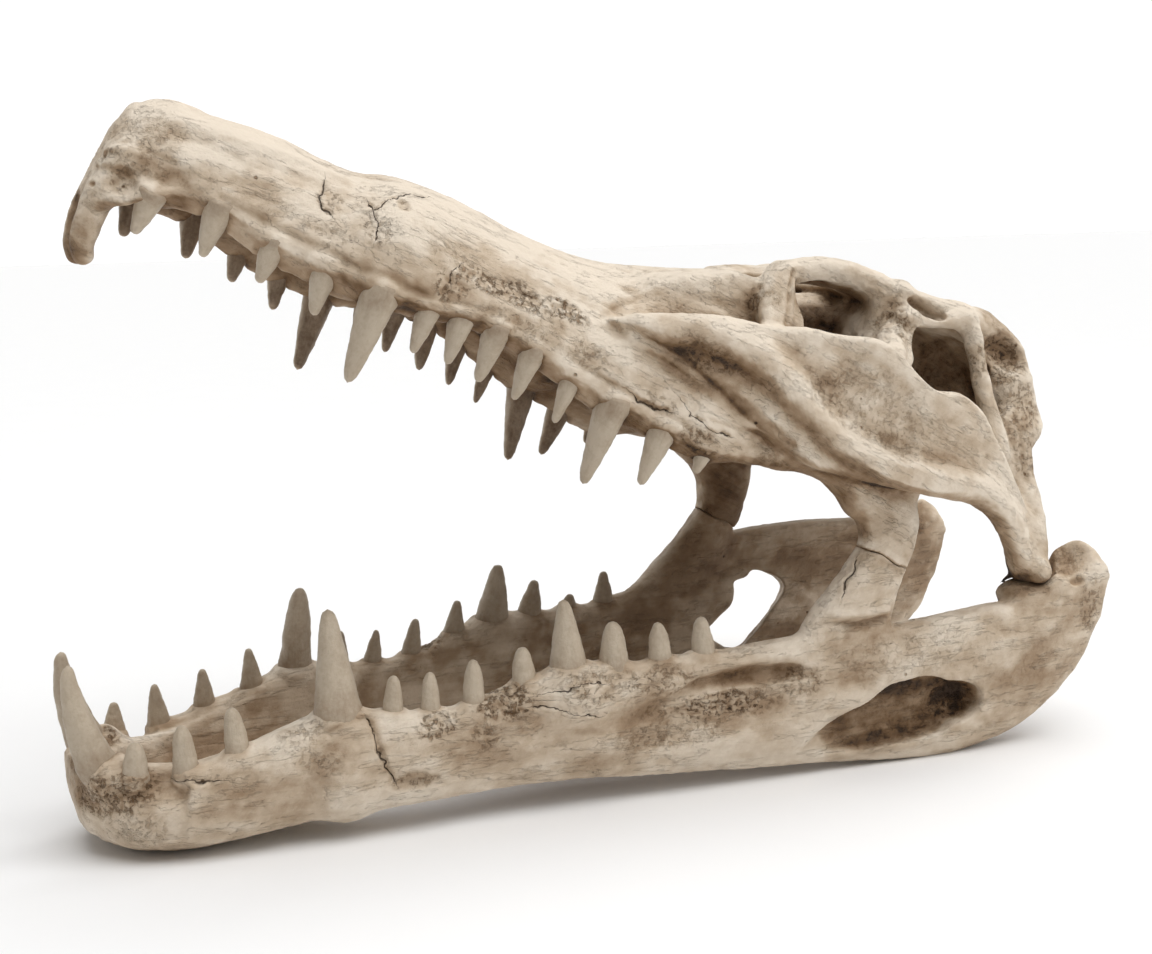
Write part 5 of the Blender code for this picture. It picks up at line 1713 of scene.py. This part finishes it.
@dataclass(frozen=True)
class StudioFinish:
    """Matt white studio paper."""

    name: str = "studio_paper"
    shade: tuple = (0.9, 0.898, 0.895)

    def material(self) -> bpy.types.Material:
        """The finish as a node tree."""
        sh = Shader(self.name)
        fibre = sh.noise(30.0, 3.0)
        colour = sh.ramp(fibre, ((0.0, self.shade), (1.0, tuple(0.98 * part for part in self.shade))))
        return sh.finish(colour, sh.between(fibre, 0.0, 1.0, 0.8, 0.95), sh.relief((fibre, 0.00002)))


class ToothTree(NodeTree):
    """The Geometry Nodes tree that stands a tooth on every point of a row."""

    numbers: dict = {"Sides": 28, "Rings": 40, "Flatness": 0.9, "Unevenness": 0.0007}
    # how far up the tooth, and how wide it is there
    pointed: tuple = ((0.0, 0.0), (0.02, 0.75), (0.07, 1.14), (0.16, 1.16), (0.26, 1.04), (0.4, 0.92),
                      (0.56, 0.77), (0.72, 0.61), (0.84, 0.48), (0.92, 0.38), (0.97, 0.26), (1.0, 0.0))
    blunt: tuple = ((0.0, 0.0), (0.02, 0.8), (0.07, 1.16), (0.16, 1.18), (0.28, 1.05), (0.45, 0.98),
                    (0.62, 0.88), (0.76, 0.76), (0.87, 0.60), (0.94, 0.43), (0.98, 0.26), (1.0, 0.0))

    def __init__(self) -> None:
        """Build the tree with its named inputs."""
        super().__init__(bpy.data.node_groups.new("tooth_row", "GeometryNodeTree"))
        face = self.tree.interface
        face.new_socket("Geometry", in_out="INPUT", socket_type="NodeSocketGeometry")
        for word, value in self.numbers.items():
            kind = "NodeSocketInt" if isinstance(value, int) else "NodeSocketFloat"
            face.new_socket(word, in_out="INPUT", socket_type=kind).default_value = value
        face.new_socket("Finish", in_out="INPUT", socket_type="NodeSocketMaterial")
        face.new_socket("Geometry", in_out="OUTPUT", socket_type="NodeSocketGeometry")
        self.build()

    def named(self, name: str, kind: str) -> Socket:
        """What the points carry under a name."""
        source = self.node("GeometryNodeInputNamedAttribute", {"Name": name}, data_type=kind)
        return source.outputs["Attribute"]

    def stored(self, mesh: Socket, name: str, value: Socket, kind: str) -> Socket:
        """A mesh whose points carry a value under a name."""
        inputs = {"Geometry": mesh, "Name": name, "Value": value}
        return self.first("GeometryNodeStoreNamedAttribute", inputs, data_type=kind, domain="POINT")

    def moved(self, mesh: Socket, way: Socket, share: Socket) -> Socket:
        """A mesh with each point moved by a share of a way."""
        offset = self.first("ShaderNodeVectorMath", {0: way, "Scale": share}, operation="SCALE")
        return self.first("GeometryNodeSetPosition", {"Geometry": mesh, "Offset": offset})

    def unit_tooth(self, entry: bpy.types.NodeOutputs, outline: tuple) -> Socket:
        """A tooth one unit long, with its own places and rise stored on it.

        Args:
            entry: the tree's inputs.
            outline: how far up the tooth and how wide it is there, for each knot of its side.

        Returns:
            Its geometry.
        """
        axis = self.first("GeometryNodeCurvePrimitiveLine", {"Start": (0, 0, 0), "End": (0, 0, 1)})
        axis = self.first("GeometryNodeResampleCurve", {"Curve": axis, "Count": entry["Rings"]})
        along = self.node("GeometryNodeSplineParameter").outputs["Factor"]
        shape = self.node("ShaderNodeFloatCurve", {"Value": along})
        knots = shape.mapping.curves[0].points
        while len(knots) < len(outline):
            knots.new(0.5, 0.5)
        for knot, (place, width) in zip(knots, outline):
            knot.location = (place, width * 0.5)
        shape.mapping.update()
        ring = {"Resolution": entry["Sides"], "Radius": 1.0}
        circle = self.first("GeometryNodeCurvePrimitiveCircle", ring)
        sweep = {"Curve": axis, "Profile Curve": circle, "Scale": shape.outputs[0]}
        cone = self.first("GeometryNodeCurveToMesh", sweep)
        cone = self.first("GeometryNodeMergeByDistance", {"Geometry": cone, "Distance": 0.0005})
        place = self.first("GeometryNodeInputPosition")
        cone = self.stored(cone, "own", place, "FLOAT_VECTOR")
        rise = self.node("ShaderNodeSeparateXYZ", {0: place}).outputs["Z"]
        return self.stored(cone, "rise", rise, "FLOAT")

    def build(self) -> None:
        """The unit teeth, their copies on the points, their lengths, bows and lumps."""
        entry = self.node("NodeGroupInput").outputs
        reach = self.named("reach", "FLOAT_VECTOR")
        thickness = self.named("thickness", "FLOAT")
        length = self.node("ShaderNodeVectorMath", {0: reach}, operation="LENGTH").outputs["Value"]
        narrow = self.sum("MULTIPLY", thickness, entry["Flatness"])
        size = self.first("ShaderNodeCombineXYZ", {"X": thickness, "Y": narrow, "Z": length})
        turn = self.first("FunctionNodeAlignRotationToVector", {"Vector": reach}, axis="Z")
        blunt = self.named("blunt", "BOOLEAN")
        sharp = self.first("FunctionNodeBooleanMath", {0: blunt}, operation="NOT")
        both = self.node("GeometryNodeJoinGeometry")
        for chosen, outline in ((blunt, self.blunt), (sharp, self.pointed)):
            inputs = {"Points": entry["Geometry"], "Selection": chosen, "Rotation": turn, "Scale": size,
                      "Instance": self.unit_tooth(entry, outline)}
            copies = self.first("GeometryNodeInstanceOnPoints", inputs)
            self.tree.links.new(copies, both.inputs[0])
        row = self.first("GeometryNodeRealizeInstances", {"Geometry": both.outputs[0]})
        rise = self.named("rise", "FLOAT")
        arc = self.sum("MULTIPLY", self.sum("MULTIPLY", 4.0, rise), self.sum("SUBTRACT", 1.0, rise))
        row = self.moved(row, self.named("bow", "FLOAT_VECTOR"), arc)
        spot = self.first("GeometryNodeInputPosition")
        bumps = self.first("ShaderNodeTexNoise", {"Vector": spot, "Scale": 330.0, "Detail": 2.0})
        lumps = self.sum("MULTIPLY", self.swing(bumps), entry["Unevenness"])
        row = self.moved(row, self.first("GeometryNodeInputNormal"), lumps)
        row = self.first("GeometryNodeSetShadeSmooth", {"Geometry": row})
        row = self.first("GeometryNodeSetMaterial", {"Geometry": row, "Material": entry["Finish"]})
        self.node("NodeGroupOutput", {"Geometry": row})

    def row(self, name: str, teeth: Sequence[Tooth], finish: bpy.types.Material) -> bpy.types.Object:
        """A row of teeth as one plain mesh.

        Args:
            name: what the piece is called.
            teeth: the teeth of the row.
            finish: their material.

        Returns:
            The object.
        """
        seeds = bpy.data.meshes.new(name + "_seeds")
        seeds.from_pydata([((one.root - ORIGIN) * MM).tolist() for one in teeth], [], [])
        lay_on(seeds, "thickness", [one.thickness * MM for one in teeth])
        lay_on(seeds, "blunt", [one.blunt for one in teeth], "BOOLEAN")
        for word in ("reach", "bow"):
            lay_on(seeds, word, np.concatenate([getattr(one, word) * MM for one in teeth]), "FLOAT_VECTOR")
        item = linked(name, seeds)
        grow = item.modifiers.new("Teeth", "NODES")
        grow.node_group = self.tree
        sockets = {socket.name: socket.identifier for socket in self.tree.interface.items_tree
                   if socket.in_out == "INPUT"}
        for word, value in {**self.numbers, "Finish": finish}.items():
            grow[sockets[word]] = value
        shaped = item.evaluated_get(bpy.context.evaluated_depsgraph_get())
        mesh = bpy.data.meshes.new_from_object(shaped)
        mesh.name = name
        for word in ("reach", "bow", "thickness", "blunt"):
            if word in mesh.attributes:
                mesh.attributes.remove(mesh.attributes[word])
        places = np.empty(3 * len(mesh.vertices))
        facing = places.copy()
        mesh.vertices.foreach_get("co", places)
        mesh.vertex_normals.foreach_get("vector", facing)
        # painted shade and brown wash on the side of each tooth that faces the mouth
        lay_on(mesh, "inner", ease(-facing[1::3] * np.sign(places[1::3]), 0.0, 0.7))
        item.modifiers.clear()
        item.data = mesh
        if finish.name not in [slot.name for slot in mesh.materials if slot]:
            mesh.materials.clear()
            mesh.materials.append(finish)
        return item


# --- studio
@dataclass
class Studio:
    """The pale floor, the soft lights and the camera at the photograph's angle."""

    camera_place: Point = (-0.1855, -0.4128, 0.1598)
    azimuth: float = math.radians(-23.633)
    elevation: float = math.radians(9.434)
    roll: float = math.radians(-1.232)
    lens: float = 50.0
    floor_half: float = 6.0
    lamp_place: Point = (0.85, -0.65, 0.65)
    lamp_aim: Point = (0.05, 0.0, 0.08)
    lamp_size: float = 0.6
    lamp_power: float = 2.1
    sky_aim: Point = (-0.18, 0.12, -1.0)
    sky_spread: float = math.radians(65.0)
    sky_power: float = 2.7
    backdrop: float = 1.06
    behind_camera: float = 0.21
    zenith: float = 0.25
    backdrop_aim: Point = (0.45, 0.89, 0.0)

    @staticmethod
    def stand(item: bpy.types.Object, right: np.ndarray, up: np.ndarray, ahead: np.ndarray,
              place: Point) -> None:
        """Put a lamp or camera at a place, by its own right and up and where it looks."""
        rows = np.column_stack([right, up, -ahead, place]).tolist()
        item.matrix_world = Matrix([*rows, (0.0, 0.0, 0.0, 1.0)])

    def floor(self) -> None:
        """A wide sheet of paper that the chin and the jaw's bend rest on."""
        mesh = bpy.data.meshes.new("studio_floor")
        half = self.floor_half
        corners = [(-half, -half, 0), (half, -half, 0), (half, half, 0), (-half, half, 0)]
        mesh.from_pydata(corners, [], [(0, 1, 2, 3)])
        mesh.materials.append(StudioFinish().material())
        linked("studio_floor", mesh)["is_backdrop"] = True

    def lamps(self) -> None:
        """A soft lamp from the right and a wide skylight."""
        lamp = bpy.data.lights.new("right_front", "AREA")
        lamp.shape = "DISK"
        lamp.size = self.lamp_size
        lamp.energy = self.lamp_power
        ahead = np.array(self.lamp_aim) - self.lamp_place
        ahead = ahead / np.linalg.norm(ahead)
        side = np.cross(ahead, (0.0, 0.0, 1.0))
        side = side / np.linalg.norm(side)
        self.stand(linked("right_front", lamp), side, np.cross(side, ahead), ahead, self.lamp_place)
        sky = bpy.data.lights.new("skylight", "SUN")
        sky.energy = self.sky_power
        sky.angle = self.sky_spread
        linked("skylight", sky).rotation_euler = Vector(self.sky_aim).to_track_quat("-Z", "Y").to_euler()

    def surround(self) -> None:
        """A white surround: bright behind the skull, dim behind the camera and above."""
        world = bpy.data.worlds.new("surround")
        world.use_nodes = True
        background = world.node_tree.nodes["Background"]
        tree = NodeTree(world.node_tree)
        spot = tree.node("ShaderNodeTexCoord").outputs["Generated"]
        height = tree.node("ShaderNodeSeparateXYZ", {0: spot}).outputs["Z"]
        behind = tree.node("ShaderNodeVectorMath", {0: spot, 1: self.backdrop_aim}, operation="DOT_PRODUCT")
        level = tree.between(behind.outputs["Value"], -0.4, 0.8, self.behind_camera, self.backdrop)
        level = tree.between(height, 0.15, 0.5, level, self.zenith)
        world.node_tree.links.new(level, background.inputs["Strength"])
        background.inputs["Color"].default_value = (1.0, 1.0, 1.0, 1.0)
        bpy.context.scene.world = world
        bpy.context.scene.view_settings.view_transform = "Standard"

    def camera(self) -> None:
        """The camera, turned by azimuth and elevation and rolled a little."""
        ahead = np.array((-math.sin(self.azimuth) * math.cos(self.elevation),
                          math.cos(self.azimuth) * math.cos(self.elevation), -math.sin(self.elevation)))
        right = np.array((math.cos(self.azimuth), math.sin(self.azimuth), 0.0))
        up = np.cross(right, ahead)
        across = right * math.cos(self.roll) + up * math.sin(self.roll)
        upward = up * math.cos(self.roll) - right * math.sin(self.roll)
        lens = bpy.data.cameras.new("camera")
        lens.lens = self.lens
        lens.sensor_width = 36.0
        lens.sensor_fit = "HORIZONTAL"
        lens.clip_start = 0.01
        item = linked("camera", lens)
        self.stand(item, across, upward, ahead, self.camera_place)
        bpy.context.scene.camera = item


# --- main
# planes that parts are cut off at: a point and the direction of what goes
SIDE_PLANES = {
    Side.LEFT: ((0.0, 0.0, 0.0), (0.0, 1.0, 0.0)),
    Side.RIGHT: ((0.0, 0.0, 0.0), (0.0, -1.0, 0.0)),
}
FLOOR = ((0.0, 0.0, 0.0), (0.0, 0.0, -1.0))
# along the upper skull to the nose, and back
AHEAD = (math.cos(math.pi - GAPE), 0.0, math.sin(math.pi - GAPE))
BEHIND = tuple(-part for part in AHEAD)


@dataclass
class Model:
    """The whole cast skull: two castings and four rows of teeth."""

    jaw: LowerJaw = field(default_factory=LowerJaw)
    # u of the cuts behind the nose, the maxilla and the cranium, and x of the jaw's cut
    skull_cuts: tuple = (205.0, 110.0, 50.0)
    jaw_cut: float = 120.0
    grains: tuple = (
        Grain((16.0, 10.0, 10.0), 0.36, 11), Grain((7.0, 4.5, 4.5), 0.22, 12),
        Grain((6.0, 1.6, 2.2), 0.12, 13), Grain((2.1, 2.1, 2.1), 0.10, 14), Grain((1.1, 1.1, 1.1), 0.05, 15),
    )

    def skull_parts(self) -> tuple:
        """Each skull piece's name, planes and nodes; a * stands for the side."""
        front, back, rear = (skull_point((station, 0.0, 0.0)) for station in self.skull_cuts)
        return (
            ("nose_*", ((front, BEHIND),), ("snout",)),
            ("maxilla_*", ((front, AHEAD), (back, BEHIND)), ("snout", "roof")),
            ("cranium_*", ((back, AHEAD), (rear, BEHIND)), ("roof", "cheek_*", "strut_upper_*")),
            ("occiput_*", ((rear, AHEAD),), ("roof", "cheek_*", "quadrate_*")),
        )

    def jaw_parts(self) -> tuple:
        """The same for the jaw's pieces."""
        middle = (self.jaw_cut, 0.0, 0.0)
        return (
            ("chin_*", (FLOOR, (middle, (1.0, 0.0, 0.0))), ("jaw_*",)),
            ("ramus_*", (FLOOR, (middle, (-1.0, 0.0, 0.0))), ("jaw_*", "jaw_heel_*", "strut_lower_*")),
        )

    def keep(self, item: bpy.types.Object, finish: bpy.types.Material, nodes: Sequence[str]) -> None:
        """Dress a piece, hang it on the frame and report it.

        Args:
            item: the piece.
            finish: its material.
            nodes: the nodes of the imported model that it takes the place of.
        """
        if finish.name not in item.data.materials:
            item.data.materials.append(finish)
        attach(item, "root")
        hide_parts(*nodes)
        LOG.info("%s: %d faces, in place of %s", item.name, len(item.data.polygons), ", ".join(nodes))

    def build(self) -> None:
        """Sculpt, weather, part and dress everything."""
        upper = UpperSkull(self.jaw)
        jaw_clay = self.jaw.sculpt()
        skull_clay = upper.sculpt()
        skull_clay.keep_clear_of(jaw_clay, JAW_GAP)
        jaw_skin = Skin(jaw_clay, turned=False)
        skull_skin = Skin(skull_clay, turned=True)
        lower_teeth = {side: self.jaw.teeth(side) for side in Side}
        upper_teeth = {side: upper.teeth(side) for side in Side}
        jaw_skin.weather(self.grains, sum(lower_teeth.values(), []), self.jaw.marks())
        skull_skin.weather(self.grains, sum(upper_teeth.values(), []), upper.marks())
        # top lightens faces that look up as a painted highlight; the last number weighs the painted shade
        # and brown wash on the mouth's side
        jaw_bone = BoneFinish("jaw_bone", 0.0, wash=0.40, top=-0.12, inner=0.16).material()
        skull_bone = BoneFinish("skull_bone", -GAPE, wash=0.34, top=-0.26, inner=0.42).material()
        # the number weighs the painted shade and brown wash on the teeth's side facing the mouth
        lower_ivory = ToothFinish("lower_ivory", 0.16).material()
        upper_ivory = ToothFinish("upper_ivory", 0.7).material()
        castings = ((skull_skin, skull_bone, self.skull_parts()), (jaw_skin, jaw_bone, self.jaw_parts()))
        rows = (("upper_teeth_*", upper_teeth, upper_ivory, "snout"),
                ("lower_teeth_*", lower_teeth, lower_ivory, "jaw_*"))
        tree = ToothTree()
        for side in Side:
            for skin, finish, parts in castings:
                for name, planes, nodes in parts:
                    item = skin.piece(side.named(name), [SIDE_PLANES[side], *planes])
                    self.keep(item, finish, [side.named(node) for node in nodes])
            for name, teeth, finish, node in rows:
                item = tree.row(side.named(name), teeth[side], finish)
                self.keep(item, finish, [side.named(node)])


def main() -> None:
    """Build the model and the studio."""
    logging.basicConfig(level=logging.INFO, format="%(message)s")
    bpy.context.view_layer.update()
    Model().build()
    studio = Studio()
    studio.floor()
    studio.lamps()
    studio.surround()
    studio.camera()


if __name__ == "__main__":
    main()
